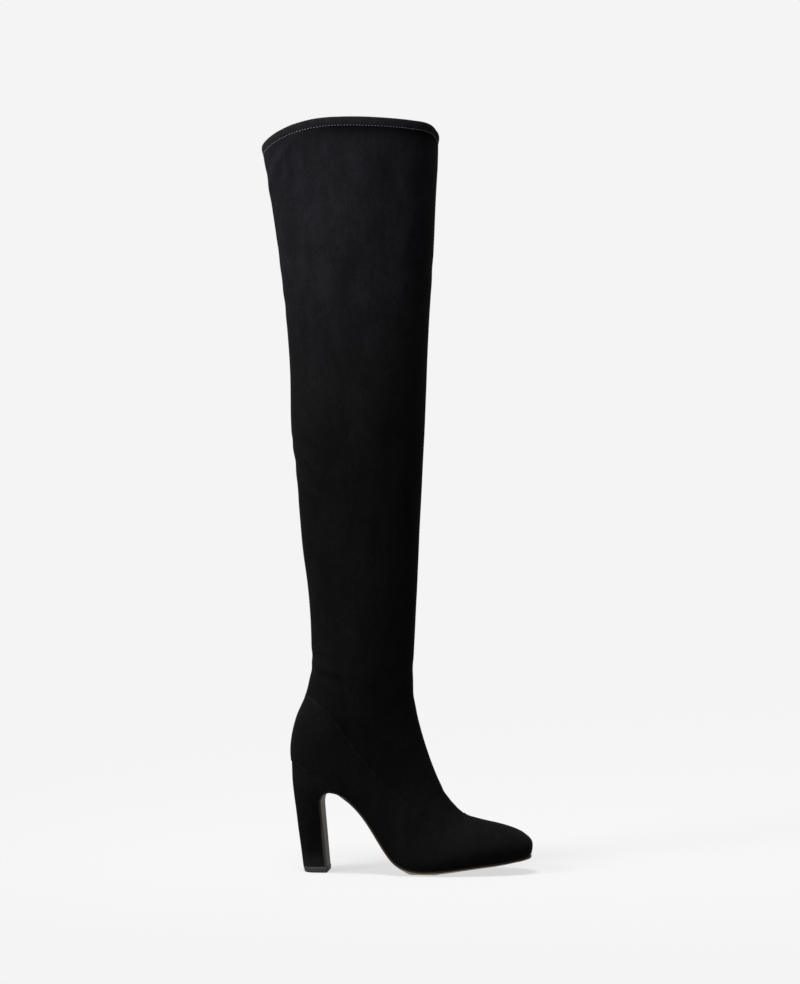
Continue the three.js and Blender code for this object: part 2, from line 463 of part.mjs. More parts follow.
// ---- the boot ----
const group = new THREE.Group();
const SUEDE = { color: 0x16161a, roughness: 0.95, metalness: 0 };
function add(name, solid, look) {
  const mesh = new THREE.Mesh(toGeometry(solid), new THREE.MeshStandardMaterial(look));
  mesh.name = name;
  mesh.position.x = CENTRE_X;
  group.add(mesh);
}
add("outsole", outsole, { color: 0x5f584f, roughness: 0.6, metalness: 0 });
add("heel", heel, SUEDE);
add("top_lift", topLift, { color: 0x2e2e2e, roughness: 0.7, metalness: 0 });
add("insole", insole, { color: 0x1c1b1c, roughness: 0.8, metalness: 0 });
add("upper", upper, SUEDE);
add("shaft", shaft, SUEDE);

export default group;
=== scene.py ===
# Tall pull-on boot in black suede with a covered block heel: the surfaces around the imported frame.
# Shapes are worked out in the frame's millimetres and turned into metres when a mesh is made.
import math
import bpy
import bmesh
import numpy as np
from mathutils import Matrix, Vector


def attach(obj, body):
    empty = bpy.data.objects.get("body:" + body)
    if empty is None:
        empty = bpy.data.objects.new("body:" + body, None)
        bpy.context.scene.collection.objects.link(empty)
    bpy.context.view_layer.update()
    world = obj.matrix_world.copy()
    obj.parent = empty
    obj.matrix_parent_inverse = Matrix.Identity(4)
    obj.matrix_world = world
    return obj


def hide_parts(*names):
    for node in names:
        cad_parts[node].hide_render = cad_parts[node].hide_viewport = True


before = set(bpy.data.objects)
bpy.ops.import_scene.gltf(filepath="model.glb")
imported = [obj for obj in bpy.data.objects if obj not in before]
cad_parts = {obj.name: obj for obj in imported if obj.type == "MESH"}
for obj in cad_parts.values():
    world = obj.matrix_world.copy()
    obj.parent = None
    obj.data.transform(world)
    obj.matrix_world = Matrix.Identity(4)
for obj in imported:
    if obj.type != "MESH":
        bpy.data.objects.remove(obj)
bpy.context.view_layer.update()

scene = bpy.context.scene
MM = 0.001

# ------------------------------------------------------------------ camera
# Level camera, a little ahead of square on to the outer side, aimed half way up the boot.
CAM_DIST, CAM_HIGH, CAM_TURN, CAM_X = 2920.0, 341.8, 5.2, 2.97
FRAME_W, FRAME_H = 800, 984
F_PX = CAM_DIST / 0.9
turn = math.radians(CAM_TURN)
ahead = np.array([-math.sin(turn), math.cos(turn), 0.0])
cam_data = bpy.data.cameras.new("camera")
cam = bpy.data.objects.new("camera", cam_data)
scene.collection.objects.link(cam)
cam.location = [(CAM_X - ahead[0] * CAM_DIST) * MM, (-ahead[1] * CAM_DIST) * MM, CAM_HIGH * MM]
cam.rotation_euler = (math.pi / 2, 0.0, turn)
cam_data.sensor_fit = "AUTO"
cam_data.sensor_width = 36.0
cam_data.lens = F_PX * 36.0 / max(FRAME_W, FRAME_H)
cam_data.clip_start, cam_data.clip_end = 0.05, 60.0
cam_data.dof.use_dof = False
scene.camera = cam

# ------------------------------------------------------------------ sizes shared with the frame, mm
WALL, GAP = 1.8, 0.3
COLLAR_TOP, DIP_BACK, DIP_FRONT = 674.6, 21.8, 12.0
HEM_DEEP, HEM_PROUD = 7.5, 0.7
SOLE_TUCK, LIFT_TALL, INSOLE_THICK = 1.0, 5.3, 2.2
LEVEL_STEP, LEG_TOP, CENTRE_X = 50.0, 700.0, 0.17

COLS = ("fx", "fz", "bx", "bz", "wide", "low", "base", "shift", "crest", "top", "under")
SECTIONS = np.array([
    # front or top point, back or underside point, width, widest at, base, lean, crest, roundness
    (38.4, 700, -128.4, 700, 103, 0.50, 0, 0, 0, 2.15, 2.15),                       # above collar
    (37.0, 650, -121.4, 650, 100, 0.50, 0, 0, 0, 2.15, 2.15),                       # collar
    (34.2, 600, -113.3, 600, 97, 0.50, 0, 0, 0, 2.15, 2.15),                        # thigh
    (31.6, 550, -105.9, 550, 95, 0.50, 0, 0, 0, 2.1, 2.1),                          # over knee
    (28.9, 500, -99.9, 500, 93, 0.50, 0, 0, 0, 2.1, 2.1),                           # knee
    (26.3, 450, -96.2, 450, 91, 0.50, 0, 0, 0, 2.1, 2.1),                           # under knee
    (24.6, 400, -95.2, 400, 89, 0.49, 0, 0, 0, 2.05, 2.1),                          # high calf
    (22.3, 350, -89.6, 350, 85, 0.48, 0, 0, 0, 2, 2.1),                             # calf
    (19.7, 300, -85.3, 300, 79, 0.47, 0, 0, 0, 2, 2.1),                             # low calf
    (17.3, 250, -79.6, 250, 73, 0.47, 0, 0, 0, 2, 2.1),                             # shin
    (15.6, 210, -77.1, 210, 70, 0.47, 0, 0, 0, 2, 2.05),                            # over ankle
    (14.4, 185, -76.5, 184, 69, 0.46, 0, 0, 0, 2, 2),                               # ankle
    (14.2, 169, -82.3, 160, 68.5, 0.45, 0, 0, 0.3, 1.95, 1.95),                     # achilles
    (15.7, 152, -90.9, 140, 67.5, 0.43, 0, 0, 0.5, 1.9, 1.95),                      # heel top
    (19.2, 135, -95.6, 120, 65.5, 0.41, 0, 0, 0.8, 1.9, 2),                         # heel bulge
    (23.7, 118.5, -96.1, 102, 63.5, 0.39, 0, 0, 1.1, 1.9, 2),                       # heel seat
    (28.4, 104, -91.8, 86, 62.5, 0.38, 0.0, -0.1, 1.5, 1.9, 2),                     # seat back
    (33.0, 92, -80.0, 79, 61.5, 0.37, 0.42, -0.4, 2, 1.9, 2),                       # seat
    (38.0, 80.6, -64.0, 70.5, 60.5, 0.36, 0.55, -0.9, 2.6, 1.9, 2),                 # seat front
    (43.2, 70.6, -48.0, 61.5, 60, 0.35, 0.58, -1.5, 3.2, 1.9, 2),                   # shank back
    (49.0, 62.8, -34.0, 49.5, 61, 0.34, 0.60, -2.0, 3.9, 1.9, 2),                   # shank
    (55.6, 56.2, -21.5, 32.5, 64.5, 0.33, 0.62, -2.1, 4.6, 1.95, 2),                # waist
    (63.0, 51.5, -10.0, 15.0, 71, 0.32, 0.66, -1.6, 5.2, 1.95, 2),                  # waist front
    (72.0, 48.6, 6.0, 2.4, 79, 0.31, 0.70, -0.4, 5.8, 2, 2),                        # joint outer
    (81.0, 46.3, 26.0, -0.6, 84, 0.31, 0.72, 1.0, 6.2, 2.05, 2),                    # ball
    (89.6, 44.4, 46.0, 0.7, 83, 0.31, 0.73, 2.4, 6.4, 2.1, 2),                      # joint inner
    (97.6, 42.3, 64.0, 2.9, 77, 0.32, 0.74, 3.5, 6.4, 2.15, 2),                     # toes
    (104.8, 40.0, 80.0, 4.8, 69, 0.33, 0.75, 4.2, 6, 2.2, 2),                       # toe box
    (111.0, 37.3, 94.0, 6.2, 59.5, 0.35, 0.76, 4.6, 5.6, 2.3, 2),                   # toe front
    (116.0, 34.0, 105.0, 7.6, 49.5, 0.38, 0.77, 4.8, 5.2, 2.4, 2),                  # toe bend
    (119.4, 31.0, 112.4, 8.8, 39.5, 0.42, 0.78, 4.9, 5, 2.5, 2),                    # tip side
    (121.4, 27.9, 117.0, 10.2, 28, 0.46, 0.78, 5, 5, 2.6, 2),                       # tip round
    (122.0, 24.8, 120.2, 12, 13, 0.5, 0.78, 5, 5, 2.6, 2),                          # tip
], float)
TIP = len(SECTIONS) - 1

SEAT = np.array([
    (-130, 118.6), (-97, 101.0), (-88.7, 96.6), (-82.4, 93.2), (-74.3, 88.8), (-66.2, 84.5), (-59.0, 80.7),
    (-51.8, 76.6), (-45.5, 71.9), (-39.1, 65.7), (-33.5, 60.0), (-27.9, 53.4), (-22.3, 45.6), (-16.8, 37.0),
    (-11.3, 28.3), (-5.8, 20.2), (-0.5, 13.6), (4.8, 9.5), (10.0, 7.1), (15.1, 5.7), (20.4, 4.9), (25.6, 4.6),
    (31.0, 4.7), (41.6, 5.4), (52.1, 6.6), (62.5, 7.9), (78.2, 9.8), (88.6, 11.0), (99.0, 12.4), (109.4, 14.2),
    (114.5, 15.4), (119.5, 16.9), (140, 24.5)], float)

# lower edge line of the sole, thickness at the edge, swell in the middle, half width (0: follows the upper)
SOLE = np.array([
    (-61.6, 5.6, 2.3, 0.3, 14.6), (-62.6, 16, 2.3, 0.3, 14.9), (-64.4, 35, 2.4, 0.3, 15.9), (-66.2, 53, 2.6, 0.3, 17.2),
    (-66.9, 62, 2.7, 0.3, 18.4), (-66.2, 66.8, 2.7, 0.3, 19.2), (-63.9, 70.3, 2.6, 0.3, 19.9), (-60.5, 71.8, 2.5, 0.3, 20.4),
    (-57.0, 71.8, 2.4, 0.3, 20.8), (-51.5, 70.4, 2.3, 0.3, 21.4), (-46.0, 67.6, 2.3, 0.3, 0), (-40.6, 63.4, 2.3, 0.3, 0),
    (-35.2, 58.2, 2.3, 0.3, 0), (-29.7, 51.8, 2.3, 0.3, 0), (-24.2, 44.2, 2.3, 0.3, 0), (-18.7, 35.6, 2.3, 0.3, 0),
    (-13.2, 26.9, 2.3, 0.3, 0), (-7.7, 18.8, 2.3, 0.5, 0), (-2.1, 11.9, 2.3, 0.9, 0), (3.6, 7.5, 2.3, 1.5, 0),
    (9.2, 4.9, 2.3, 2.4, 0), (14.7, 3.4, 2.3, 3.6, 0), (20.2, 2.6, 2.3, 2.8, 0), (25.6, 2.3, 2.3, 2.5, 0),
    (31.0, 2.4, 2.3, 2.6, 0), (36.5, 2.7, 2.3, 2.9, 0), (42.0, 3.1, 2.3, 2.4, 0), (52.3, 4.3, 2.3, 2.2, 0),
    (62.7, 5.6, 2.3, 2.0, 0), (78.4, 7.5, 2.3, 1.8, 0), (88.8, 8.6, 2.3, 1.6, 0), (99.2, 10.0, 2.3, 1.3, 0),
    (106.0, 11.2, 2.3, 1.0, 0), (111.5, 12.0, 2.3, 0.8, 0), (115.6, 12.8, 2.3, 0.6, 0), (118.6, 13.5, 2.3, 0.4, 0),
    (120.3, 14.1, 2.3, 0.2, 0)], float)

# back x, z, front x, z, half width, length of the rounded back, share of the seat's outline
HEEL = np.array([
    (-95.6, 104.0, -36.0, 72, 25.5, 36, 1), (-95.4, 100.6, -36.0, 68, 25.5, 36, 1), (-95.1, 93.0, -40.0, 62, 24.0, 32, 0.8),
    (-94.7, 83.0, -46.0, 56, 21.8, 27, 0.5), (-93.4, 71.0, -52.0, 50, 19.6, 22, 0.25), (-91.2, 54.8, -54.0, 41, 17.6, 17, 0.1),
    (-89.2, 38.5, -54.0, 30, 16.2, 13.5, 0), (-86.9, 22.3, -54.0, 18, 15.2, 11, 0), (-84.7, 5.6, -54.0, 5.6, 14.8, 9.5, 0)], float)
HEEL_FRONT_SHARE = 0.97

TOPLINE = np.array([
    (-150, 168), (-92, 164.6), (-84, 161.4), (-74.5, 156.6), (-64.7, 149.7), (-56.5, 142), (-48.1, 131.3), (-39.9, 119.4),
    (-26.4, 101.3), (-7.5, 81.2), (4.1, 70.8), (15.0, 61.6), (22.0, 55.0), (28.4, 49.6), (34.0, 46.2), (40.4, 44.7),
    (48.1, 45.2), (54.7, 47.4), (58.6, 50.4), (60.6, 54.5), (61.4, 60), (150, 130)], float)


# ------------------------------------------------------------------ the form
def table(rows, t):
    """Smooth curve through the columns of a table; t counts rows."""
    t = np.asarray(t, float)
    n = len(rows) - 1
    k = np.clip(np.floor(t).astype(int), 0, n - 1)
    u = (t - k)[..., None]
    p1, p2 = rows[k], rows[k + 1]
    p0 = np.where((k > 0)[..., None], rows[np.maximum(k - 1, 0)], 2 * p1 - p2)
    p3 = np.where((k < n - 1)[..., None], rows[np.minimum(k + 2, n)], 2 * p2 - p1)
    return 0.5 * (2 * p1 + (p2 - p0) * u + (2 * p0 - 5 * p1 + 4 * p2 - p3) * u * u + (3 * p1 - p0 - 3 * p2 + p3) * u ** 3)


def section(t):
    v = table(SECTIONS, t)
    row = {c: v[..., i] for i, c in enumerate(COLS)}
    row["base"] = np.maximum(0, row["base"])
    return row


def form_point(t, a):
    """Point of the outer form, at section t and angle a: 0 on top, pi underneath, past pi on the inner side.
    Past the last section the form closes in a rounded tip."""
    t, a = np.broadcast_arrays(np.asarray(t, float), np.asarray(a, float))
    over = np.clip(t - TIP, 0, 1)
    row = section(np.minimum(t, TIP))
    side = np.where(a <= np.pi, -1.0, 1.0)
    q = np.where(a <= np.pi, a, 2 * np.pi - a)
    c, s = np.abs(np.cos(q)), np.abs(np.sin(q))
    upper = q <= np.pi / 2
    b = row["wide"] / 2
    base = row["base"] * b
    sh = np.where(upper, row["low"] + (1 - row["low"]) * c ** (2 / row["top"]), row["low"] * (1 - c ** (2 / row["under"])))
    w = np.where(upper, b * s ** (2 / row["top"]), base + (b - base) * s ** (2 / row["under"]))
    w = np.where(q < 1e-9, 0.0, w)
    mid = row["shift"] + (row["crest"] - row["shift"]) * np.clip(sh, 0, 1) ** 2
    x = row["bx"] + (row["fx"] - row["bx"]) * sh
    z = row["bz"] + (row["fz"] - row["bz"]) * sh
    y = mid + side * w
    # rounded tip: the last ring draws in to its middle as it moves ahead
    cx, cz = (row["fx"] + row["bx"]) / 2, (row["fz"] + row["bz"]) / 2
    k = np.cos(over * np.pi / 2)
    ahead_by = 0.2 * np.sin(over * np.pi / 2)
    x = np.where(over > 0, cx + (x - cx) * k + ahead_by, x)
    y = np.where(over > 0, row["shift"] + (y - row["shift"]) * k, y)
    z = np.where(over > 0, cz + (z - cz) * k, z)
    return np.stack([x, y, z], -1)


def collar_height(angle):
    c = np.cos(angle)
    return COLLAR_TOP - np.where(c > 0, DIP_BACK * np.abs(c) ** 2.3, DIP_FRONT * (0.35 * c * c + 0.65 * np.abs(c) ** 24))


def width_at(x, z):
    """Outer (-Y) and inner (+Y) edge of the form at points of its side view."""
    x, z = np.broadcast_arrays(np.asarray(x, float), np.asarray(z, float))
    lo, hi = np.zeros(x.shape), np.full(x.shape, float(TIP))

    def side(t):
        r = section(t)
        return (r["fx"] - r["bx"]) * (z - r["bz"]) - (r["fz"] - r["bz"]) * (x - r["bx"])
    beyond = side(hi) < 0
    for _ in range(40):
        mid = (lo + hi) / 2
        neg = side(mid) < 0
        lo, hi = np.where(neg, mid, lo), np.where(neg, hi, mid)
    r = section((lo + hi) / 2)
    s = ((x - r["bx"]) * (r["fx"] - r["bx"]) + (z - r["bz"]) * (r["fz"] - r["bz"])) / ((r["fx"] - r["bx"]) ** 2 + (r["fz"] - r["bz"]) ** 2)
    b = r["wide"] / 2
    base = r["base"] * b
    ql = np.clip((r["low"] - s) / r["low"], 0, 1)
    qt = np.clip((s - r["low"]) / (1 - r["low"]), 0, 1)
    w = np.where(s < r["low"], base + (b - base) * (1 - ql ** r["under"]) ** (1 / r["under"]), b * (1 - qt ** r["top"]) ** (1 / r["top"]))
    w = np.where((s <= 0) | (s >= 1) | beyond, 0, w)
    m = r["shift"] + (r["crest"] - r["shift"]) * np.clip(s, 0, 1) ** 2
    return m - w, m + w, w


def on_line(line, x):
    return np.interp(x, line[:, 0], line[:, 1])


def offset_line(line, by):
    a, b = np.vstack([line[:1], line[:-1]]), np.vstack([line[1:], line[-1:]])
    d = b - a
    d /= np.hypot(d[:, 0], d[:, 1])[:, None]
    return line + np.stack([-d[:, 1], d[:, 0]], 1) * by


def smooth_line(line, n=8):
    """Rounded version of a side-view line, n steps for each stretch."""
    t = np.linspace(0, len(line) - 1, (len(line) - 1) * n + 1)
    return table(line, t)


TOPLINE_S = smooth_line(TOPLINE[1:-1], 6)
TOPLINE_S = np.vstack([TOPLINE[:1], TOPLINE_S, TOPLINE[-1:]])
SEAT_S = SEAT


def line_distance(x, z, line):
    """Distance of side-view points from a line, positive above it (to its left)."""
    p = np.stack([np.ravel(x), np.ravel(z)], 1)
    best = np.full(len(p), 1e9)
    sign = np.ones(len(p))
    for a, b in zip(line[:-1], line[1:]):
        d = b - a
        l2 = d @ d
        u = np.clip(((p - a) @ d) / l2, 0, 1)
        c = a + u[:, None] * d
        dist = np.hypot(p[:, 0] - c[:, 0], p[:, 1] - c[:, 1])
        left = d[0] * (p[:, 1] - a[1]) - d[1] * (p[:, 0] - a[0])
        near = dist < best - 1e-9
        best = np.where(near, dist, best)
        sign = np.where(near, np.where(left >= 0, 1.0, -1.0), sign)
    return (best * sign).reshape(np.shape(x))


# ------------------------------------------------------------------ soft noise for shapes, seeded
def value_noise(p, seed):
    """Smooth noise from -1 to 1 at points p (n, 3)."""
    i = np.floor(p).astype(np.int64)
    f = p - i
    f = f * f * (3 - 2 * f)
    out = np.zeros(len(p))
    for dx in (0, 1):
        for dy in (0, 1):
            for dz in (0, 1):
                h = (i[:, 0] + dx) * 374761393 + (i[:, 1] + dy) * 668265263 + (i[:, 2] + dz) * 2147483647 + seed * 144665
                h = (h ^ (h >> 13)) * 1274126177
                h = (h ^ (h >> 16)) & 0xFFFF
                w = (f[:, 0] if dx else 1 - f[:, 0]) * (f[:, 1] if dy else 1 - f[:, 1]) * (f[:, 2] if dz else 1 - f[:, 2])
                out += w * (h / 32767.5 - 1)
    return out


# ------------------------------------------------------------------ mesh helpers
def grid_faces(rows, cols, wrap_cols=True, wrap_rows=False):
    r = np.arange(rows if wrap_rows else rows - 1)
    c = np.arange(cols if wrap_cols else cols - 1)
    R, C = np.meshgrid(r, c, indexing="ij")
    R2, C2 = (R + 1) % rows, (C + 1) % cols
    return np.stack([R * cols + C, R * cols + C2, R2 * cols + C2, R2 * cols + C], -1).reshape(-1, 4)


def clip(verts, faces, f, keep):
    """Keeps the part of a mesh where f >= 0; keep is a list of per-vertex arrays carried along."""
    f = np.where(np.abs(f) < 1e-3, 0.0, f)
    V, K = [np.asarray(v) for v in verts], [list(a) for a in keep]
    F, cuts = [], {}

    def cut(a, b):
        key = (a, b) if a < b else (b, a)
        if key not in cuts:
            u = f[a] / (f[a] - f[b])
            cuts[key] = len(V)
            V.append(verts[a] * (1 - u) + verts[b] * u)
            for arr in K:
                arr.append(arr[a] * (1 - u) + arr[b] * u)
        return cuts[key]
    for face in faces:
        fs = [f[v] for v in face]
        if min(fs) >= 0:
            if max(fs) > 0:
                F.append(list(face))
            continue
        if max(fs) <= 0:
            continue
        poly = []
        n = len(face)
        for i in range(n):
            a, b = face[i], face[(i + 1) % n]
            if f[a] >= 0:
                poly.append(a)
            if f[a] * f[b] < 0:
                poly.append(cut(a, b))
        if len(poly) > 2:
            F.append(poly)
    used = sorted({v for face in F for v in face})
    new = {v: i for i, v in enumerate(used)}
    return np.array([V[v] for v in used]), [[new[v] for v in face] for face in F], [np.array([a[v] for v in used]) for a in K]


def grid_normals(P, wrap_cols=True, out_sign=1.0):
    du = np.gradient(P, axis=0)
    if wrap_cols:
        dv = (np.roll(P, -1, 1) - np.roll(P, 1, 1)) / 2
    else:
        dv = np.gradient(P, axis=1)
    n = np.cross(du, dv) * out_sign
    l = np.linalg.norm(n, axis=-1, keepdims=True)
    return n / np.maximum(l, 1e-9)


def mesh_object(name, verts_mm, faces, mats, face_mat=None, smooth=True, weld=0.0, sharp=50, shade=None):
    me = bpy.data.meshes.new(name)
    v = np.asarray(verts_mm, float).copy()
    v[:, 0] += CENTRE_X
    me.from_pydata((v * MM).tolist(), [], [list(map(int, f)) for f in faces])
    for m in mats:
        me.materials.append(m)
    if face_mat is not None:
        me.polygons.foreach_set("material_index", np.asarray(face_mat, np.int32))
    if shade is not None:
        me.attributes.new("shade", "FLOAT", "POINT").data.foreach_set("value", np.asarray(shade, np.float32))
    me.update()
    bm = bmesh.new()
    bm.from_mesh(me)
    if weld > 0:
        bmesh.ops.remove_doubles(bm, verts=bm.verts, dist=weld * MM)
    bmesh.ops.recalc_face_normals(bm, faces=bm.faces)
    bm.to_mesh(me)
    bm.free()
    me.polygons.foreach_set("use_smooth", [smooth] * len(me.polygons))
    me.update()
    if sharp:
        me.set_sharp_from_angle(angle=math.radians(sharp))
    ob = bpy.data.objects.new(name, me)
    scene.collection.objects.link(ob)
    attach(ob, "root")
    return ob


def bridge_sides(V, faces, steps=6):
    """Closes an open form whose outer and inner sides have the same side view, by bands straight across it."""
    edges = {}
    for f in faces:
        for i in range(len(f)):
            a, b = f[i], f[(i + 1) % len(f)]
            edges.setdefault((min(a, b), max(a, b)), []).append((a, b))
    rim = [e[0] for e in edges.values() if len(e) == 1]
    tips = sorted({v for e in rim for v in e})
    centre = V[:, 1].mean()
    spot = lambda v: (round(float(V[v, 0]), 2), round(float(V[v, 2]), 2))
    inner = {}
    for v in tips:
        inner.setdefault(spot(v), []).append(v)
    pairs, missing = {}, 0
    for v in tips:
        near = [w for w in inner.get(spot(v), []) if w != v]
        if near:
            pairs[v] = near[0]
        else:
            best = min((w for w in tips if w != v and (V[w, 1] > 1.0) != (V[v, 1] > 1.0)),
                       key=lambda w: (V[w, 0] - V[v, 0]) ** 2 + (V[w, 2] - V[v, 2]) ** 2, default=v)
            far = math.hypot(V[best, 0] - V[v, 0], V[best, 2] - V[v, 2])
            pairs[v] = best if far < 0.2 else v
            missing += far >= 0.2
    V, faces = list(V), [list(f) for f in faces]
    lines = {}

    def line(v):
        """Points straight across from v to its partner."""
        w = pairs[v]
        if w == v:
            return [v] * (steps + 1)
        key = (min(v, w), max(v, w))
        if key not in lines:
            a, b = key
            ids = [a]
            for k in range(1, steps):
                ids.append(len(V))
                V.append(V[a] + (V[b] - V[a]) * (k / steps))
            ids.append(b)
            lines[key] = ids
        ids = lines[key]
        return ids if ids[0] == v else ids[::-1]
    for a, b in rim:
        if V[a][1] + V[b][1] > V[pairs[a]][1] + V[pairs[b]][1]:
            continue
        la, lb = line(a), line(b)
        for k in range(steps):
            quad = [lb[k], la[k], la[k + 1], lb[k + 1]]
            quad = [v for i, v in enumerate(quad) if v not in quad[:i]]
            if len(quad) > 2:
                faces.append(quad)
    return np.array(V), faces, missing


def apply_modifiers(ob):
    deps = bpy.context.evaluated_depsgraph_get()
    me = bpy.data.meshes.new_from_object(ob.evaluated_get(deps), depsgraph=deps)
    ob.modifiers.clear()
    old = ob.data
    ob.data = me
    me.name = ob.name
    bpy.data.meshes.remove(old)


# ------------------------------------------------------------------ materials
class Nodes:
    def __init__(self, name):
        self.mat = bpy.data.materials.new(name)
        self.mat.use_nodes = True
        self.t = self.mat.node_tree
        self.t.nodes.clear()
        self.out = self.t.nodes.new("ShaderNodeOutputMaterial")
        self.bsdf = self.t.nodes.new("ShaderNodeBsdfPrincipled")
        self.link(self.bsdf, "BSDF", self.out, "Surface")
        self.coord = self.t.nodes.new("ShaderNodeTexCoord")

    def link(self, a, ao, b, bi):
        self.t.links.new(a.outputs[ao], b.inputs[bi])

    def node(self, kind, **kw):
        n = self.t.nodes.new(kind)
        for k, v in kw.items():
            setattr(n, k, v)
        return n

    def noise(self, scale, detail=3.0, rough=0.5, stretch=None, distort=0.0):
        n = self.node("ShaderNodeTexNoise")
        n.inputs["Scale"].default_value = scale
        n.inputs["Detail"].default_value = detail
        n.inputs["Roughness"].default_value = rough
        n.inputs["Distortion"].default_value = distort
        m = self.node("ShaderNodeMapping")
        m.inputs["Scale"].default_value = stretch or (1, 1, 1)
        self.link(self.coord, "Object", m, "Vector")
        self.link(m, "Vector", n, "Vector")
        return n

    def ramp(self, src, out, stops):
        r = self.node("ShaderNodeValToRGB")
        el = r.color_ramp.elements
        while len(el) < len(stops):
            el.new(0.5)
        for e, (pos, col) in zip(el, stops):
            e.position = pos
            e.color = (*col, 1) if len(col) == 3 else col
        self.link(src, out, r, "Fac")
        return r

    def mix(self, fac, a, b, blend="MIX"):
        m = self.node("ShaderNodeMix", data_type="RGBA", blend_type=blend)
        for sock, val in ((m.inputs[0], fac), (m.inputs[6], a), (m.inputs[7], b)):
            if hasattr(val, "links") or hasattr(val, "is_linked"):
                self.t.links.new(val, sock)
            elif isinstance(val, (int, float)):
                sock.default_value = val
            else:
                sock.default_value = (*val, 1)
        return m.outputs[2]

    def maths(self, op, a, b=None, c=None):
        m = self.node("ShaderNodeMath", operation=op)
        for i, v in enumerate((a, b, c)):
            if v is None:
                continue
            if hasattr(v, "is_linked"):
                self.t.links.new(v, m.inputs[i])
            else:
                m.inputs[i].default_value = v
        return m.outputs[0]

    def bump(self, height, strength, distance, prev=None):
        b = self.node("ShaderNodeBump")
        b.inputs["Strength"].default_value = strength
        b.inputs["Distance"].default_value = distance
        self.t.links.new(height, b.inputs["Height"])
        if prev is not None:
            self.link(prev, "Normal", b, "Normal")
        return b

    def finish(self, color, rough, bump=None, spec=0.5):
        s = self.bsdf.inputs
        if hasattr(color, "is_linked"):
            self.t.links.new(color, s["Base Color"])
        else:
            s["Base Color"].default_value = (*color, 1)
        if hasattr(rough, "is_linked"):
            self.t.links.new(rough, s["Roughness"])
        else:
            s["Roughness"].default_value = rough
        s["Specular IOR Level"].default_value = spec
        if bump is not None:
            self.link(bump, "Normal", self.bsdf, "Normal")
        return self.mat


def suede(name, low, high, sheen, nap=1.0, z0=0.30, z1=0.62, streaks=0.0, shaded=0.0, broken=0.0):
    """Brushed nap: short soft fibres, patches where it lies the other way, and a faint bloom at grazing angles.
    low and high are the colours at the foot and at the collar."""
    n = Nodes(name)
    sep = n.node("ShaderNodeSeparateXYZ")
    n.link(n.coord, "Object", sep, "Vector")
    rise = n.node("ShaderNodeMapRange", interpolation_type="SMOOTHSTEP")
    n.link(sep, "Z", rise, "Value")
    rise.inputs["From Min"].default_value, rise.inputs["From Max"].default_value = z0, z1
    base = n.mix(rise.outputs[0], low, high)
    if shaded:
        # painted shade just under the hem, where less light reaches
        mark = n.node("ShaderNodeAttribute", attribute_name="shade")
        base = n.mix(n.maths("MULTIPLY", mark.outputs["Fac"], shaded), base, (0.0003, 0.0003, 0.0003))
    patch = n.noise(16, 4, 0.55, (1.5, 1.5, 0.8), 0.5)
    lie = n.noise(75, 3, 0.6, (1, 1, 0.45), 0.6)
    fine = n.noise(480, 3, 0.6, (1, 1, 0.5))
    speck = n.noise(1700, 2, 0.6)
    pr = n.ramp(patch, "Fac", [(0.32, (0.82,) * 3), (0.68, (1.2,) * 3)])
    lr = n.ramp(lie, "Fac", [(0.3, (0.84,) * 3), (0.7, (1.2,) * 3)])
    fr = n.ramp(fine, "Fac", [(0.3, (0.78,) * 3), (0.72, (1.25,) * 3)])
    sr = n.ramp(speck, "Fac", [(0.3, (0.82,) * 3), (0.75, (1.22,) * 3)])
    col = n.mix(1.0, base, pr.outputs[0], "MULTIPLY")
    for r in (lr, fr, sr):
        col = n.mix(1.0, col, r.outputs[0], "MULTIPLY")
    if streaks:
        st = n.noise(42, 3, 0.55, (1, 1, 0.14), 0.8)
        mo = n.noise(34, 3, 0.6, (1, 1, 0.8), 1.2)
        col = n.mix(streaks, col, n.mix(1.0, col, n.ramp(st, "Fac", [(0.3, (0.72,) * 3), (0.7, (1.35,) * 3)]).outputs[0], "MULTIPLY"))
        col = n.mix(streaks, col, n.mix(1.0, col, n.ramp(mo, "Fac", [(0.3, (0.7,) * 3), (0.7, (1.35,) * 3)]).outputs[0], "MULTIPLY"))
    if broken:
        gaps = n.noise(210, 2, 0.6)
        col = n.mix(broken, col, n.mix(1.0, col, n.ramp(gaps, "Fac", [(0.38, (0.35,) * 3), (0.6, (1.9,) * 3)]).outputs[0], "MULTIPLY"))
    h = n.maths("ADD", n.maths("MULTIPLY", fine.outputs["Fac"], 0.7), n.maths("MULTIPLY", speck.outputs["Fac"], 0.45))
    b1 = n.bump(patch.outputs["Fac"], 0.25, 0.0012)
    b1 = n.bump(lie.outputs["Fac"], 0.3, 0.0006, b1)
    b2 = n.bump(h, 0.5 * nap, 0.0004, b1)
    rough = n.maths("MULTIPLY_ADD", fine.outputs["Fac"], 0.12, 0.86)
    m = n.finish(col, rough, b2, spec=0.01)
    s = n.bsdf.inputs
    s["Sheen Weight"].default_value = sheen
    s["Sheen Roughness"].default_value = 0.5
    s["Sheen Tint"].default_value = (0.95, 0.95, 1.0, 1)
    return m
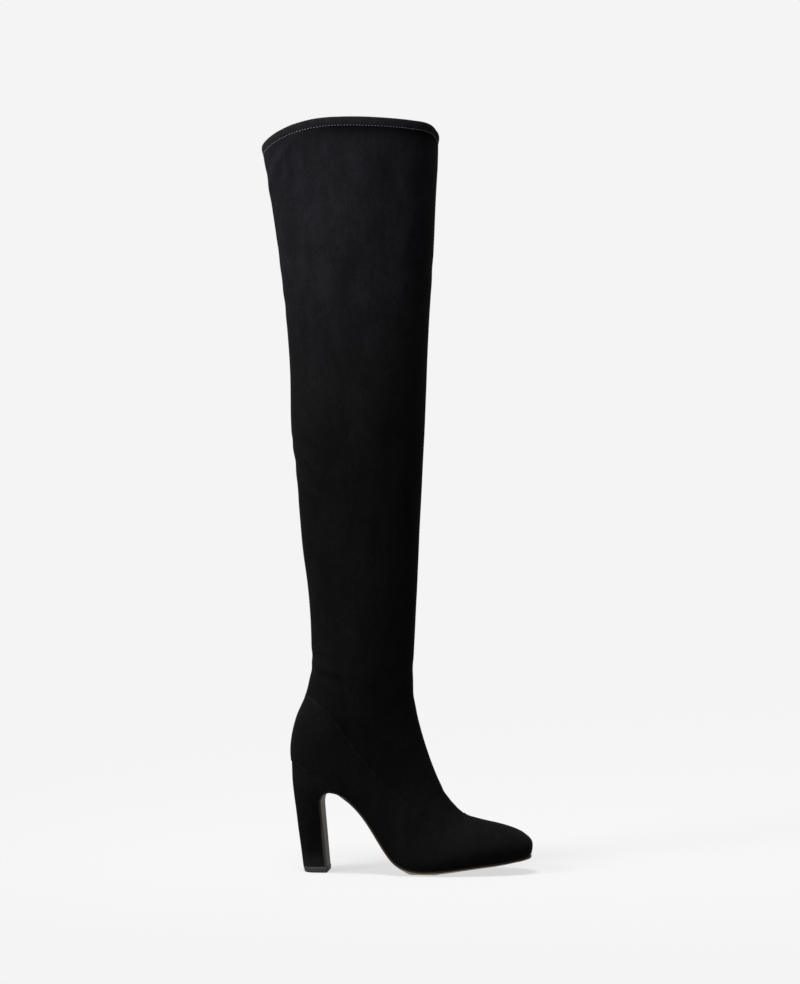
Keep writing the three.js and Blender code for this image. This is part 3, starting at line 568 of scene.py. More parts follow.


# painted light: the leg's colour rises from dark at the foot to lighter and slightly bluer at the collar, standing in
# for the light falling off down the boot
MAT_SHAFT = suede("suede_leg", (0.0012, 0.0012, 0.0012), (0.0026, 0.0026, 0.0032), 0.003, z0=0.34, z1=0.64, streaks=0.3, shaded=0.8)
# painted light: the foot suede is a little lighter higher up, the same painted falloff as the leg
MAT_FOOT = suede("suede_foot", (0.0013, 0.0013, 0.0013), (0.0015, 0.0015, 0.0015), 0.003, 1.1, z0=0.03, z1=0.12)
# painted reflection: the heel cover is lighter over its lowest 3 to 24 mm, standing in for light bounced up from the
# floor
MAT_HEEL = suede("suede_heel", (0.0046, 0.0046, 0.0044), (0.0014, 0.0014, 0.0014), 0.003, 1.1, z0=0.003, z1=0.024)
# painted highlight: the rolled hem band is given a lighter colour than the leg, standing in for the light it catches
MAT_HEM = suede("suede_hem", (0.0036, 0.0036, 0.0041), (0.0036, 0.0036, 0.0041), 0.006, 1.1)
# painted highlight: the turned edges are lighter than the foot suede, in broken stretches, standing in for light caught
# by the raised edge; darker lower down as painted falloff of the light
MAT_BEAD = suede("suede_turned_edge", (0.0011, 0.0011, 0.0011), (0.0024, 0.0024, 0.0024), 0.003, 1.0, z0=0.035, z1=0.13, broken=0.8)


def lining():
    n = Nodes("lining_knit")
    w = n.noise(900, 2, 0.5, (1, 1, 0.3))
    p = n.noise(40, 3, 0.5)
    c = n.mix(1.0, n.ramp(w, "Fac", [(0.35, (0.010, 0.010, 0.011)), (0.7, (0.022, 0.022, 0.024))]).outputs[0],
              n.ramp(p, "Fac", [(0.3, (0.85,) * 3), (0.7, (1.1,) * 3)]).outputs[0], "MULTIPLY")
    return n.finish(c, 0.8, n.bump(w.outputs["Fac"], 0.5, 0.0003), 0.25)


def thread():
    n = Nodes("thread")
    w = n.noise(2600, 2, 0.5)
    c = n.ramp(w, "Fac", [(0.3, (0.013, 0.016, 0.019)), (0.75, (0.036, 0.042, 0.050))]).outputs[0]
    return n.finish(c, 0.55, n.bump(w.outputs["Fac"], 0.4, 0.0001), 0.4)


def sole_edge():
    """Black edge paint: dark grey down the flap, where the grey is painted light standing in for the lit edge, and
    black as the suede along the waist and forefoot.
    """
    n = Nodes("sole_edge_paint")
    g = n.noise(420, 3, 0.6, (1, 1, 3))
    s = n.noise(60, 3, 0.5)
    sep = n.node("ShaderNodeSeparateXYZ")
    n.link(n.coord, "Object", sep, "Vector")
    on = n.node("ShaderNodeMapRange", interpolation_type="SMOOTHSTEP")
    n.link(sep, "X", on, "Value")
    on.inputs["From Min"].default_value, on.inputs["From Max"].default_value = -0.056, -0.036
    base = n.mix(on.outputs[0], (0.0105, 0.0104, 0.0100), (0.0042, 0.0042, 0.0042))
    c = n.mix(1.0, base, n.ramp(g, "Fac", [(0.3, (0.8,) * 3), (0.75, (1.2,) * 3)]).outputs[0], "MULTIPLY")
    c = n.mix(1.0, c, n.ramp(s, "Fac", [(0.3, (0.85,) * 3), (0.7, (1.15,) * 3)]).outputs[0], "MULTIPLY")
    return n.finish(c, n.maths("MULTIPLY_ADD", g.outputs["Fac"], 0.2, 0.5), n.bump(g.outputs["Fac"], 0.35, 0.0002), 0.12)


def sole_rim():
    n = Nodes("sole_edge_bare")
    g = n.noise(300, 3, 0.6, (1, 1, 4))
    c = n.ramp(g, "Fac", [(0.3, (0.26, 0.150, 0.080)), (0.75, (0.38, 0.23, 0.13))]).outputs[0]
    sep = n.node("ShaderNodeSeparateXYZ")
    n.link(n.coord, "Object", sep, "Vector")
    on = n.node("ShaderNodeMapRange", interpolation_type="SMOOTHSTEP")
    n.link(sep, "X", on, "Value")
    on.inputs["From Min"].default_value, on.inputs["From Max"].default_value = -0.045, -0.020
    flap = n.ramp(g, "Fac", [(0.3, (0.030, 0.027, 0.024)), (0.75, (0.046, 0.042, 0.037))]).outputs[0]
    c = n.mix(on.outputs[0], flap, c)
    return n.finish(c, 0.6, n.bump(g.outputs["Fac"], 0.3, 0.0001), 0.3)


def sole_under():
    n = Nodes("sole_under")
    g = n.noise(260, 4, 0.6, (1, 1, 1), 0.3)
    s = n.noise(22, 4, 0.6, (0.6, 2.2, 1))
    f = n.noise(1400, 2, 0.6)
    c = n.mix(1.0, n.ramp(g, "Fac", [(0.3, (0.132, 0.114, 0.092)), (0.75, (0.182, 0.159, 0.130))]).outputs[0],
              n.ramp(s, "Fac", [(0.3, (0.82, 0.82, 0.82)), (0.7, (1.12, 1.1, 1.08))]).outputs[0], "MULTIPLY")
    c = n.mix(1.0, c, n.ramp(f, "Fac", [(0.3, (0.9,) * 3), (0.75, (1.08,) * 3)]).outputs[0], "MULTIPLY")
    # darker towards the foot of the heel's front, and darker all along the underside forward of the heel
    sep = n.node("ShaderNodeSeparateXYZ")
    n.link(n.coord, "Object", sep, "Vector")
    down = n.node("ShaderNodeMapRange", interpolation_type="SMOOTHSTEP")
    n.link(sep, "Z", down, "Value")
    down.inputs["From Min"].default_value, down.inputs["From Max"].default_value = 0.030, 0.070
    down.inputs["To Min"].default_value, down.inputs["To Max"].default_value = 0.44, 1.0
    heelward = n.node("ShaderNodeMapRange", interpolation_type="SMOOTHSTEP")
    n.link(sep, "X", heelward, "Value")
    heelward.inputs["From Min"].default_value, heelward.inputs["From Max"].default_value = -0.050, -0.030
    level = n.node("ShaderNodeMix", data_type="FLOAT")
    n.t.links.new(heelward.outputs[0], level.inputs[0])
    n.t.links.new(down.outputs[0], level.inputs[2])
    level.inputs[3].default_value = 0.6
    c = n.mix(level.outputs[0], (0.006, 0.0055, 0.005), c)
    b = n.bump(g.outputs["Fac"], 0.25, 0.0003)
    b = n.bump(f.outputs["Fac"], 0.2, 0.0001, b)
    return n.finish(c, n.maths("MULTIPLY_ADD", s.outputs["Fac"], 0.2, 0.55), b, 0.08)


def rubber():
    n = Nodes("tip_rubber")
    g = n.noise(700, 3, 0.6)
    s = n.noise(90, 3, 0.5)
    c = n.mix(1.0, n.ramp(g, "Fac", [(0.3, (0.009, 0.009, 0.009)), (0.75, (0.016, 0.016, 0.016))]).outputs[0],
              n.ramp(s, "Fac", [(0.3, (0.85,) * 3), (0.7, (1.1,) * 3)]).outputs[0], "MULTIPLY")
    return n.finish(c, 0.68, n.bump(g.outputs["Fac"], 0.4, 0.0002), 0.15)


def sock():
    n = Nodes("sock_lining")
    v = n.node("ShaderNodeTexVoronoi", feature="DISTANCE_TO_EDGE")
    v.inputs["Scale"].default_value = 620
    n.link(n.coord, "Object", v, "Vector")
    g = n.noise(30, 3, 0.5)
    c = n.ramp(g, "Fac", [(0.3, (0.012, 0.012, 0.013)), (0.7, (0.024, 0.024, 0.025))]).outputs[0]
    return n.finish(c, 0.5, n.bump(v.outputs["Distance"], 0.5, 0.0003), 0.4)


MAT_LINING, MAT_THREAD, MAT_EDGE, MAT_RIM, MAT_UNDER, MAT_RUBBER, MAT_SOCK = (
    lining(), thread(), sole_edge(), sole_rim(), sole_under(), rubber(), sock())

# ------------------------------------------------------------------ creases and lie of the suede
# x, z: two ends of a crease in the side view   deep: mm   wide: mm   side: -1 outer, 1 inner, 0 both
CREASES = [
    dict(x0=-90.0, z0=368, x1=-62.0, z1=340, deep=0.75, wide=5.0, side=0),    # behind the knee, falling forwards
    dict(x0=-95.0, z0=388, x1=-70.0, z1=381, deep=0.35, wide=4.0, side=0),
    dict(x0=-76.0, z0=196, x1=-50.0, z1=188, deep=0.45, wide=4.5, side=0),    # over the achilles
    dict(x0=-77.0, z0=181, x1=-44.0, z1=172, deep=0.5, wide=4.5, side=0),
    dict(x0=15.5, z0=186, x1=-6.0, z1=176, deep=0.35, wide=5.0, side=0),      # front of the ankle
    dict(x0=16.0, z0=160, x1=-4.0, z1=148, deep=0.4, wide=5.0, side=0),
    dict(x0=42.0, z0=72, x1=16.0, z1=56, deep=0.35, wide=3.5, side=0),        # over the instep, near the throat
    dict(x0=56.0, z0=52, x1=30.0, z1=62, deep=0.3, wide=3.0, side=0),
    dict(x0=-106.0, z0=560, x1=-78.0, z1=548, deep=0.45, wide=7.0, side=0),   # soft steps up the back
    dict(x0=-103.0, z0=512, x1=-74.0, z1=500, deep=0.4, wide=6.5, side=0),
    dict(x0=31.0, z0=545, x1=4.0, z1=536, deep=0.3, wide=7.0, side=0),
    dict(x0=-92.0, z0=658, x1=-113.0, z1=616, deep=-1.7, wide=4.5, side=0),   # soft folds hanging from the collar
    dict(x0=-99.0, z0=640, x1=-96.0, z1=520, deep=-1.2, wide=6.5, side=0),
    dict(x0=-28.0, z0=625, x1=-62.0, z1=500, deep=-1.3, wide=15.0, side=0),
    dict(x0=2.0, z0=640, x1=-8.0, z1=520, deep=0.8, wide=9.0, side=0),
    dict(x0=-86.0, z0=330, x1=-70.0, z1=235, deep=-0.6, wide=8.0, side=0),
]


def crease_field(P):
    """How far the suede stands in (+) or out (-) at each point, mm."""
    x, y, z = P[..., 0], P[..., 1], P[..., 2]
    out = np.zeros(x.shape)
    for c in CREASES:
        a = np.array([c["x0"], c["z0"]])
        d = np.array([c["x1"], c["z1"]]) - a
        L = np.hypot(*d)
        d /= L
        along = (x - a[0]) * d[0] + (z - a[1]) * d[1]
        across = -(x - a[0]) * d[1] + (z - a[1]) * d[0] + 1.6 * np.sin(along / 9.0 + c["z0"])
        fade = 1 / (1 + np.exp((along - L) / 5.0)) / (1 + np.exp(-(along + 8) / 5.0))
        q = across / c["wide"]
        trough = np.exp(-q * q) - 0.55 * np.exp(-(q - 1.7) ** 2) - 0.4 * np.exp(-(q + 1.7) ** 2)
        m = 1.0 if c["side"] == 0 else (np.sign(y) == c["side"])
        out += c["deep"] * fade * trough * m
    shape = x.shape
    p = np.stack([x.ravel(), y.ravel(), z.ravel()], 1)
    broad = value_noise(p / np.array([38.0, 38.0, 62.0]), 3) * 0.35 + value_noise(p / np.array([15.0, 15.0, 26.0]), 7) * 0.12
    return out + broad.reshape(shape)


# ------------------------------------------------------------------ shaft
COLS_SHAFT = 208
ROWS_SHAFT = 236


def seam_share(angles, t0=8.0, t1=TIP - 0.01, n=900):
    """For each angle, the section at which the form crosses the topline."""
    t = np.linspace(t0, t1, n)
    out = np.zeros(len(angles))
    for i, a in enumerate(angles):
        P = form_point(t, a)
        f = line_distance(P[:, 0], P[:, 2], TOPLINE_S)
        k = np.argmax(f < 0)
        u = f[k - 1] / (f[k - 1] - f[k])
        out[i] = t[k - 1] + (t[k] - t[k - 1]) * u
    return out


def column_heights(angles, t_low, drop):
    """Section number at which each column ends, drop mm under the collar's edge."""
    base = form_point(1.0, angles)
    r = section(1.0)
    mx, a, b = (r["fx"] + r["bx"]) / 2, (r["fx"] - r["bx"]) / 2, r["wide"] / 2
    ang = np.arctan2(base[:, 1] / b, -(base[:, 0] - mx) / a)
    return (LEG_TOP - (collar_height(ang) - drop)) / LEVEL_STEP


def build_shaft():
    m = COLS_SHAFT
    half = np.linspace(0, np.pi, m // 2 + 1)
    angles = np.concatenate([half, 2 * np.pi - half[1:-1][::-1]])
    angles[0] = 0.0
    t_seam = seam_share(angles) - 0.004
    t_top = column_heights(angles, t_seam, HEM_DEEP)
    rows = ROWS_SHAFT
    T = np.zeros((rows, len(angles)))
    for j, a in enumerate(angles):
        t = np.linspace(t_seam[j], t_top[j], 420)
        P = form_point(t, a)
        s = np.concatenate([[0], np.cumsum(np.linalg.norm(np.diff(P, axis=0), axis=1))])
        u = np.linspace(0, 1, rows)
        u = u + 0.25 * np.sin(np.pi * u) * (u - 1) * 0.55     # closer together near the foot
        T[:, j] = np.interp(u * s[-1], s, t)
    P = form_point(T, angles[None, :])
    N = grid_normals(P)
    centre = np.stack([np.full(P.shape[:2], -35.0), np.zeros(P.shape[:2]), P[..., 2]], -1)
    if np.mean(np.sum(N * (P - centre), -1)) < 0:
        N = -N
    # the skin near the topline and the hem stays as the frame has it
    d_seam = line_distance(P[..., 0], P[..., 2], TOPLINE_S)
    free = np.clip(d_seam / 10.0, 0, 1) * np.clip(np.linspace(1, 0, rows)[:, None] * 30, 0, 1)
    fore = np.clip(np.cos(angles), 0, 1)[None, :] ** 2
    aft = np.clip(-np.cos(angles), 0, 1)[None, :] ** 2
    move = (crease_field(P) - 0.6 * fore - 0.2 * aft) * free
    tuck = 0.16 * np.exp(-(np.maximum(d_seam, 0) / 0.8) ** 2)     # turns in at the seam
    back = np.exp(-(np.abs(angles - np.pi)[None, :] * 28 / 1.0) ** 2) * 0.35   # back seam
    pull = 0.25 * np.exp(-((np.abs(angles - np.pi)[None, :] * 28 - 3.0) / 2.0) ** 2)
    outer = P - N * (move + tuck + back - pull * 0.4)[..., None]
    # hem: a folded band that stands proud, then turns over and runs down inside
    top_t = lambda drop: column_heights(angles, t_seam, drop)
    edge = form_point(top_t(0.0), angles)
    n_top = N[-1].copy()
    n_top[:, 2] = 0
    n_top /= np.linalg.norm(n_top, axis=1)[:, None]
    ripple = 0.10 * value_noise(np.stack([edge[:, 0] / 7, edge[:, 1] / 7, edge[:, 2] * 0], 1), 11)
    hem = []
    prof = [(7.45, -0.25), (7.1, 0.1), (6.6, 0.42), (5.6, 0.66), (4.2, 0.78), (2.8, 0.80), (1.6, 0.70), (0.85, 0.45), (0.35, 0.10),
            (0.06, -0.35), (0.0, -0.95), (0.1, -1.6), (0.45, -2.05), (1.1, -2.35), (2.5, -2.5), (5.0, -2.5), (7.0, -2.3), (7.6, -1.95), (9.0, -1.85)]
    for drop, out in prof:
        base = form_point(top_t(drop), angles)
        base[:, 2] = edge[:, 2] - drop + ripple * max(0.0, 1 - drop / 3)
        hem.append(base + n_top * (out + ripple[:, None] * 0.6))
    # lining down the inside, coarse
    inside = []
    rows_in = 60
    for u in np.linspace(0.02, 1, rows_in):
        k = (1 - u) * (rows - 1)
        k0 = int(math.floor(k))
        k1 = min(k0 + 1, rows - 1)
        w = k - k0
        p = P[k0] * (1 - w) + P[k1] * w
        n = N[k0] * (1 - w) + N[k1] * w
        n /= np.linalg.norm(n, axis=1)[:, None]
        inside.append(p - n * WALL)
    grid = np.concatenate([outer, np.stack(hem), np.stack(inside)])
    R, C = grid.shape[:2]
    faces = grid_faces(R, C, True, True)
    row_of = np.repeat(np.arange(R), C)
    under_hem = (LEG_TOP - P[..., 2]) / LEVEL_STEP - t_top[None, :]           # rows of the form below the hem
    # painted shade: the shade attribute darkens the leg for about 8 mm under the hem, on its forward part (x above
    # about -66 mm)
    shade = np.zeros((R, C))
    shade[:rows] = np.exp(-(np.maximum(under_hem, 0) * LEVEL_STEP / 8.0) ** 2) / (1 + np.exp(-(P[..., 0] + 66.0) / 6.0))
    n_out = rows
    n_hem = len(hem)
    mat = np.where(row_of < n_out - 1, 0, np.where(row_of < n_out + n_hem - 6, 1, 2))
    ob = mesh_object("shaft_suede", grid.reshape(-1, 3), faces, [MAT_SHAFT, MAT_HEM, MAT_LINING], mat, weld=0.01, shade=shade.ravel())
    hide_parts("shaft")
    return ob, angles, N[-1], edge


shaft_ob, shaft_angles, shaft_top_n, shaft_edge = build_shaft()


# ------------------------------------------------------------------ stitches round the hem
def build_stitches(drop, pitch, long, thick):
    fine = np.linspace(0, 2 * np.pi, 2401)[:-1]
    t = column_heights(fine, None, drop)
    P = form_point(t, fine)
    e = form_point(column_heights(fine, None, 0.0), fine)
    P[:, 2] = e[:, 2] - drop
    loop = np.vstack([P, P[:1]])
    s = np.concatenate([[0], np.cumsum(np.linalg.norm(np.diff(loop, axis=0), axis=1))])
    count = int(round(s[-1] / pitch))
    at = (np.arange(count) + 0.5) / count * s[-1]
    tang = np.gradient(loop, axis=0)
    V, F = [], []
    ring_n, cap = 8, [(-0.5, 0.35), (-0.42, 0.8), (-0.2, 1.0), (0.2, 1.0), (0.42, 0.8), (0.5, 0.35)]
    for k, sk in enumerate(at):
        c = np.array([np.interp(sk, s, loop[:, i]) for i in range(3)])
        d = np.array([np.interp(sk, s, tang[:, i]) for i in range(3)])
        d /= np.linalg.norm(d)
        n = np.array([c[0] + 42.8, c[1] * (80 / 50) ** 2, 0.0])
        n /= np.linalg.norm(n)
        n -= d * (n @ d)
        n /= np.linalg.norm(n)
        b = np.cross(d, n)
        tilt = 0.10 * math.sin(k * 12.9898)
        d2 = d * math.cos(tilt) + b * math.sin(tilt)
        b2 = np.cross(d2, n)
        start = len(V)
        for u, w in cap:
            for j in range(ring_n):
                a = 2 * math.pi * j / ring_n
                V.append(c + n * 0.12 + d2 * (u * long) + n * (math.cos(a) * thick * 0.5 * w - 0.5 * abs(u) ** 3 * 2.0) + b2 * (math.sin(a) * thick * 0.5 * w))
        for r in range(len(cap) - 1):
            for j in range(ring_n):
                F.append([start + r * ring_n + j, start + r * ring_n + (j + 1) % ring_n, start + (r + 1) * ring_n + (j + 1) % ring_n, start + (r + 1) * ring_n + j])
        F.append([start + j for j in range(ring_n)][::-1])
        F.append([start + (len(cap) - 1) * ring_n + j for j in range(ring_n)])
    ob = mesh_object("hem_stitches", np.array(V), F, [MAT_THREAD])
    return ob


stitch_ob = build_stitches(HEM_DEEP + 0.25, 2.75, 1.55, 0.62)


# ------------------------------------------------------------------ foot part of the upper
def build_upper():
    half_cols = 92
    q = np.linspace(0, np.pi, half_cols)
    angles = np.concatenate([q, (2 * np.pi - q[::-1])[:-1]])     # both sides meet on top; the underside is cut away
    flank = form_point(np.linspace(11.6, TIP, 900), 1.9)
    s = np.concatenate([[0], np.cumsum(np.linalg.norm(np.diff(flank, axis=0), axis=1))])
    crest = form_point(np.linspace(11.6, TIP, 900), 0.9)
    s2 = np.concatenate([[0], np.cumsum(np.linalg.norm(np.diff(crest, axis=0), axis=1))])
    s = s / s[-1] + s2 / s2[-1]
    n = 225
    t = np.interp(np.linspace(0, s[-1], n), s, np.linspace(11.6, TIP, 900))
    t = np.concatenate([t, TIP + np.array([0.12, 0.25, 0.4, 0.55, 0.7, 0.85, 0.985])])
    P = form_point(t[:, None], angles[None, :])
    N = grid_normals(P, False)
    if np.mean(np.sum(N[:-8] * (P[:-8] - np.array([20, 0, 40.0])), -1)) < 0:
        N = -N
    # the nose is nearly flat: its normals turn ahead little by little
    lead = np.clip((t - (TIP - 0.6)) / 0.6, 0, 1)[:, None, None]
    N = N * (1 - lead) + np.array([0.99, 0, -0.12]) * lead
    N /= np.maximum(np.linalg.norm(N, axis=-1, keepdims=True), 1e-9)
    nose = 1 - np.clip((t - (TIP - 3.0)) / 2.5, 0, 1)[:, None]
    seat = offset_line(SEAT, 0.06)
    d_seam = line_distance(P[..., 0], P[..., 2], TOPLINE_S)
    d_seat = line_distance(P[..., 0], P[..., 2], seat)
    free = np.clip(-d_seam / 9.0, 0, 1) * np.clip(d_seat / 7.0, 0, 1)
    move = crease_field(P) * free * 0.6 * nose
    edge = np.abs(d_seam)
    lip = -0.30 * np.exp(-(edge / 2.6) ** 2) + 0.30 * np.exp(-(edge / 0.55) ** 2)      # turned edge: proud, then rounded off
    tuck = 0.22 * np.exp(-(np.maximum(d_seat, 0) / 0.6) ** 2)
    P2 = P - N * (move + lip + tuck)[..., None]
    faces = grid_faces(P.shape[0], P.shape[1], True, False)
    V = P2.reshape(-1, 3)
    ds, dt = d_seam.ravel(), d_seat.ravel()
    V, faces, (dt2, nx, ny, nz) = clip(V, faces.tolist(), -ds, [dt, N[..., 0].ravel(), N[..., 1].ravel(), N[..., 2].ravel()])
    V, faces, (nx, ny, nz) = clip(V, faces, dt2, [nx, ny, nz])
    nrm = np.stack([nx, ny, nz], 1)
    nrm /= np.maximum(np.linalg.norm(nrm, axis=1)[:, None], 1e-9)
    # inner skin, and the two edges that join it to the outer one
    inner = V - nrm * WALL
    count = len(V)
    edges = {}
    for f in faces:
        for i in range(len(f)):
            a, b = f[i], f[(i + 1) % len(f)]
            key = (min(a, b), max(a, b))
            edges.setdefault(key, []).append((a, b))
    rim = [e[0] for e in edges.values() if len(e) == 1]
    allf = list(faces) + [[v + count for v in f[::-1]] for f in faces] + [[b, a, a + count, b + count] for a, b in rim]
    mat = [0] * len(faces) + [1] * len(faces) + [0] * len(rim)
    ob = mesh_object("upper_suede", np.vstack([V, inner]), allf, [MAT_FOOT, MAT_LINING], mat, weld=0.004)
    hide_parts("upper")
    return ob


upper_ob = build_upper()


# ------------------------------------------------------------------ turned and stitched edges of the upper
def build_bead(name, C, up, out, half, high, pitch):
    """A low bead along points C; up lies in the surface across it, out stands off the surface."""
    ring = 10
    s = np.concatenate([[0], np.cumsum(np.linalg.norm(np.diff(C, axis=0), axis=1))])
    swell = 0.80 + 0.20 * np.cos(2 * np.pi * s / pitch) + 0.10 * value_noise(np.stack([s / 4.0, s * 0, s * 0], 1), 23)
    rows = []
    for j in range(ring):
        a = 2 * np.pi * j / ring
        rows.append(C + up * (math.cos(a) * half * (0.85 + 0.15 * swell))[:, None] + out * (math.sin(a) * high * swell)[:, None])
    G = np.stack(rows, 1)
    faces = grid_faces(G.shape[0], ring, True, False).tolist()
    n = G.shape[0]
    faces += [list(range(ring))[::-1], [(n - 1) * ring + j for j in range(ring)]]
    return mesh_object(name, G.reshape(-1, 3), faces, [MAT_BEAD], None, sharp=None)


def build_topline_bead():
    m = 480
    a = np.linspace(0.004, 2 * np.pi - 0.004, m)
    t = seam_share(a, n=700)
    C, Ct, Ca = form_point(t, a), form_point(t + 0.01, a), form_point(t, a + 0.002)
    out = np.cross(Ca - C, Ct - C)
    out /= np.maximum(np.linalg.norm(out, axis=1)[:, None], 1e-9)
    mid = C[:, 1] * 0
    flip = np.where(out[:, 1] * np.sign(C[:, 1] - 1e-6 + mid) < 0, -1.0, 1.0)
    out *= (1.0 if np.median(flip) > 0 else -1.0)
    along = np.gradient(C, axis=0)
    along /= np.maximum(np.linalg.norm(along, axis=1)[:, None], 1e-9)
    up = np.cross(out, along)
    # towards the foot: the side on which the form lies below the topline
    probe = C + up * 0.5
    sign = np.where(line_distance(probe[:, 0], probe[:, 2], TOPLINE_S) < 0, 1.0, -1.0)
    up *= (1.0 if np.median(sign) > 0 else -1.0)
    return build_bead("topline_edge", C + up * 0.55 + out * 0.16, up, out, 0.45, 0.18, 2.6)


def build_seat_bead():
    m = 260
    u = np.linspace(0, 1, m)
    x = -95.6 + (95.6 - 47.0) * u ** 2
    z = on_line(SEAT, x) + 0.35
    o, i, _ = width_at(x, z)
    left, right = np.stack([x, o, z], 1)[::-1], np.stack([x, i, z], 1)[1:]
    C = np.vstack([left, right])
    for _ in range(3):
        C[1:-1] = (C[:-2] + 2 * C[1:-1] + C[2:]) / 4
    along = np.gradient(C, axis=0)
    along /= np.linalg.norm(along, axis=1)[:, None]
    up = np.tile(np.array([0.46, 0.0, 0.89]), (len(C), 1))
    up -= along * np.sum(up * along, 1)[:, None]
    up /= np.linalg.norm(up, axis=1)[:, None]
    out = np.cross(along, up)
    centre = np.array([-60.0, 0.0, 80.0])
    out *= np.sign(np.sum(out * (C - centre), 1))[:, None]
    return build_bead("heel_seat_edge", C + out * 0.04, up, out, 0.36, 0.14, 2.2)


topline_ob = build_topline_bead()
seat_ob = build_seat_bead()


# ------------------------------------------------------------------ outsole
def sole_frames(n_each):
    rows = SOLE.copy()
    up = np.zeros((len(rows), 2))
    for i in range(len(rows)):
        a, b = rows[max(0, i - 1), :2], rows[min(len(rows) - 1, i + 1), :2]
        d = (b - a) / np.hypot(*(b - a))
        up[i] = (-d[1], d[0])
    up[0] = (-1, 0)
    top = rows[:, :2] + up * rows[:, 2:3]
    out, inn = np.zeros(len(rows)), np.zeros(len(rows))
    for i, r in enumerate(rows):
        if r[4] > 0:
            out[i], inn[i] = -r[4], r[4]
        else:
            o, n, w = width_at(top[i, 0], top[i, 1] + GAP)
            tuck = min(SOLE_TUCK, w * 0.25)
            out[i], inn[i] = o + tuck, n - tuck
    cols = np.column_stack([rows[:, :4], up, out, inn])
    t = np.linspace(0, len(rows) - 1, (len(rows) - 1) * n_each + 1)
    c = table(cols, t)
    c[:, 4:6] /= np.hypot(c[:, 4], c[:, 5])[:, None]
    c[:, 0] += 0.4 * np.clip((c[:, 0] - 104) / 15, 0, 1) ** 2       # the tip reaches nearly to the nose of the upper
    return c


def build_outsole():
    c = sole_frames(4)
    # share of the half width, share of the swell, height over the lower edge line as a share of the thickness
    lower = [(0.0, 1), (0.25, 1), (0.5, 1), (0.62, 0.92), (0.74, 0.76), (0.84, 0.56), (0.91, 0.36), (0.96, 0.16)]
    rings, zone = [], None
    for x, z, thick, swell, ux, uz, out, inn in c:
        mid, half = (out + inn) / 2, (inn - out) / 2
        bevel = min(0.62, half * 0.2)
        side = []
        for y, s in lower:
            side.append((y * (half - bevel), -swell * s, 1))
        side += [(half - bevel * 0.9, 0.02, 2), (half - bevel * 0.3, bevel * 0.55, 2), (half, bevel * 1.25, 0),
                 (half + 0.05, thick * 0.5, 0), (half, thick * 0.8, 0), (half - 0.2, thick * 0.97, 0), (half - 0.7, thick, 0)]
        for y in (0.66, 0.33, 0.0):
            side.append((y * half, thick, 0))
        full = [(mid + y, h, k) for y, h, k in side] + [(mid - y, h, k) for y, h, k in side[1:-1][::-1]]
        rings.append([[x + ux * h, y, max(0.0, z + uz * h) if h < 0 else z + uz * h] for y, h, k in full])
        zone = [k for _, _, k in full]
    R = np.array(rings)
    n = R.shape[1]
    faces = grid_faces(R.shape[0], n, True, False).tolist()
    mats = []
    half_n = len(lower)
    for i in range(R.shape[0] - 1):
        for j in range(n):
            a, b = zone[j], zone[(j + 1) % n]
            mats.append(0 if 0 in (a, b) and not (a == 2 and b == 2) else (2 if 2 in (a, b) else 1))
    V = R.reshape(-1, 3)
    # end caps
    for base, order in ((0, 1), ((R.shape[0] - 1) * n, -1)):
        hub = len(V)
        V = np.vstack([V, V[base:base + n].mean(0)])
        for j in range(n):
            a, b = base + j, base + (j + 1) % n
            faces.append([b, a, hub] if order > 0 else [a, b, hub])
            mats.append(0)
    ob = mesh_object("outsole_leather", V, faces, [MAT_EDGE, MAT_UNDER, MAT_RIM], mats)
    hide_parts("outsole")
    return ob


outsole_ob = build_outsole()


# ------------------------------------------------------------------ heel, top lift, insole
def heel_point(v, u, side):
    """v runs down the heel's rows, u from the back to the front of a row, side -1 outer or 1 inner."""
    bx, bz, fx, fz, half, rnd, seat = table(HEEL, np.asarray(v, float)).T
    L = np.hypot(fx - bx, fz - bz)
    d = u * L
    w = np.where(d < rnd, half * np.sqrt(np.clip(1 - (1 - d / rnd) ** 2, 0, 1)), half * (1 + (HEEL_FRONT_SHARE - 1) * np.clip((d - rnd) / np.maximum(L - rnd, 1e-6), 0, 1)))
    sx = -95.9 + (95.9 - 36.0) * u
    o, i, _ = width_at(sx, on_line(SEAT, sx) + GAP)
    s = np.where(u <= 0, 0, np.where(side < 0, o, i))
    y = side * w + (s - side * w) * np.clip(seat, 0, 1)
    return np.stack([bx + (fx - bx) * u, y, bz + (fz - bz) * u], -1)


def build_heel():
    c = sole_frames(4)
    top = np.column_stack([c[:, 0] + c[:, 4] * c[:, 2], c[:, 1] + c[:, 5] * c[:, 2]])
    n_rows = 110
    v = np.linspace(0, len(HEEL) - 1, n_rows)
    a = np.linspace(0, 1, 34)
    u = 0.62 * (1 - np.cos(a * np.pi / 2)) * 0.55 + 0.38 * a ** 1.0 * 1.0
    u = u / u[-1]
    rows = []
    for k in v:
        outer = heel_point(np.full(len(u), k), u, -1)
        inner = heel_point(np.full(len(u), k), u, 1)
        rows.append(np.vstack([outer[::-1], inner[1:]]))
    G = np.array(rows)
    V = G.reshape(-1, 3)
    faces = grid_faces(G.shape[0], G.shape[1], False, False).tolist()
    f_seat = -line_distance(V[:, 0], V[:, 2], SEAT) - 0.02
    # front boundary: flap and waist, from the foot of the heel up and round to the wing's end
    wing = -37.2
    keep_to = top[(np.arange(len(top)) < 60) & (top[:, 0] < wing)]
    line = np.vstack([[keep_to[0, 0], -40.0], keep_to, [wing, keep_to[-1, 1]], [wing, 140.0]])
    f_front = line_distance(V[:, 0], V[:, 2], line) - 0.06
    V, faces, (f_front,) = clip(V, faces, f_seat, [f_front])
    V, faces, _ = clip(V, faces, f_front, [])
    V, faces, missing = bridge_sides(V, faces)
    print("heel rim points with no partner:", missing)
    ob = mesh_object("heel_cover", V, faces, [MAT_HEEL], None, weld=0.004)
    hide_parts("heel")
    return ob


heel_ob = build_heel()


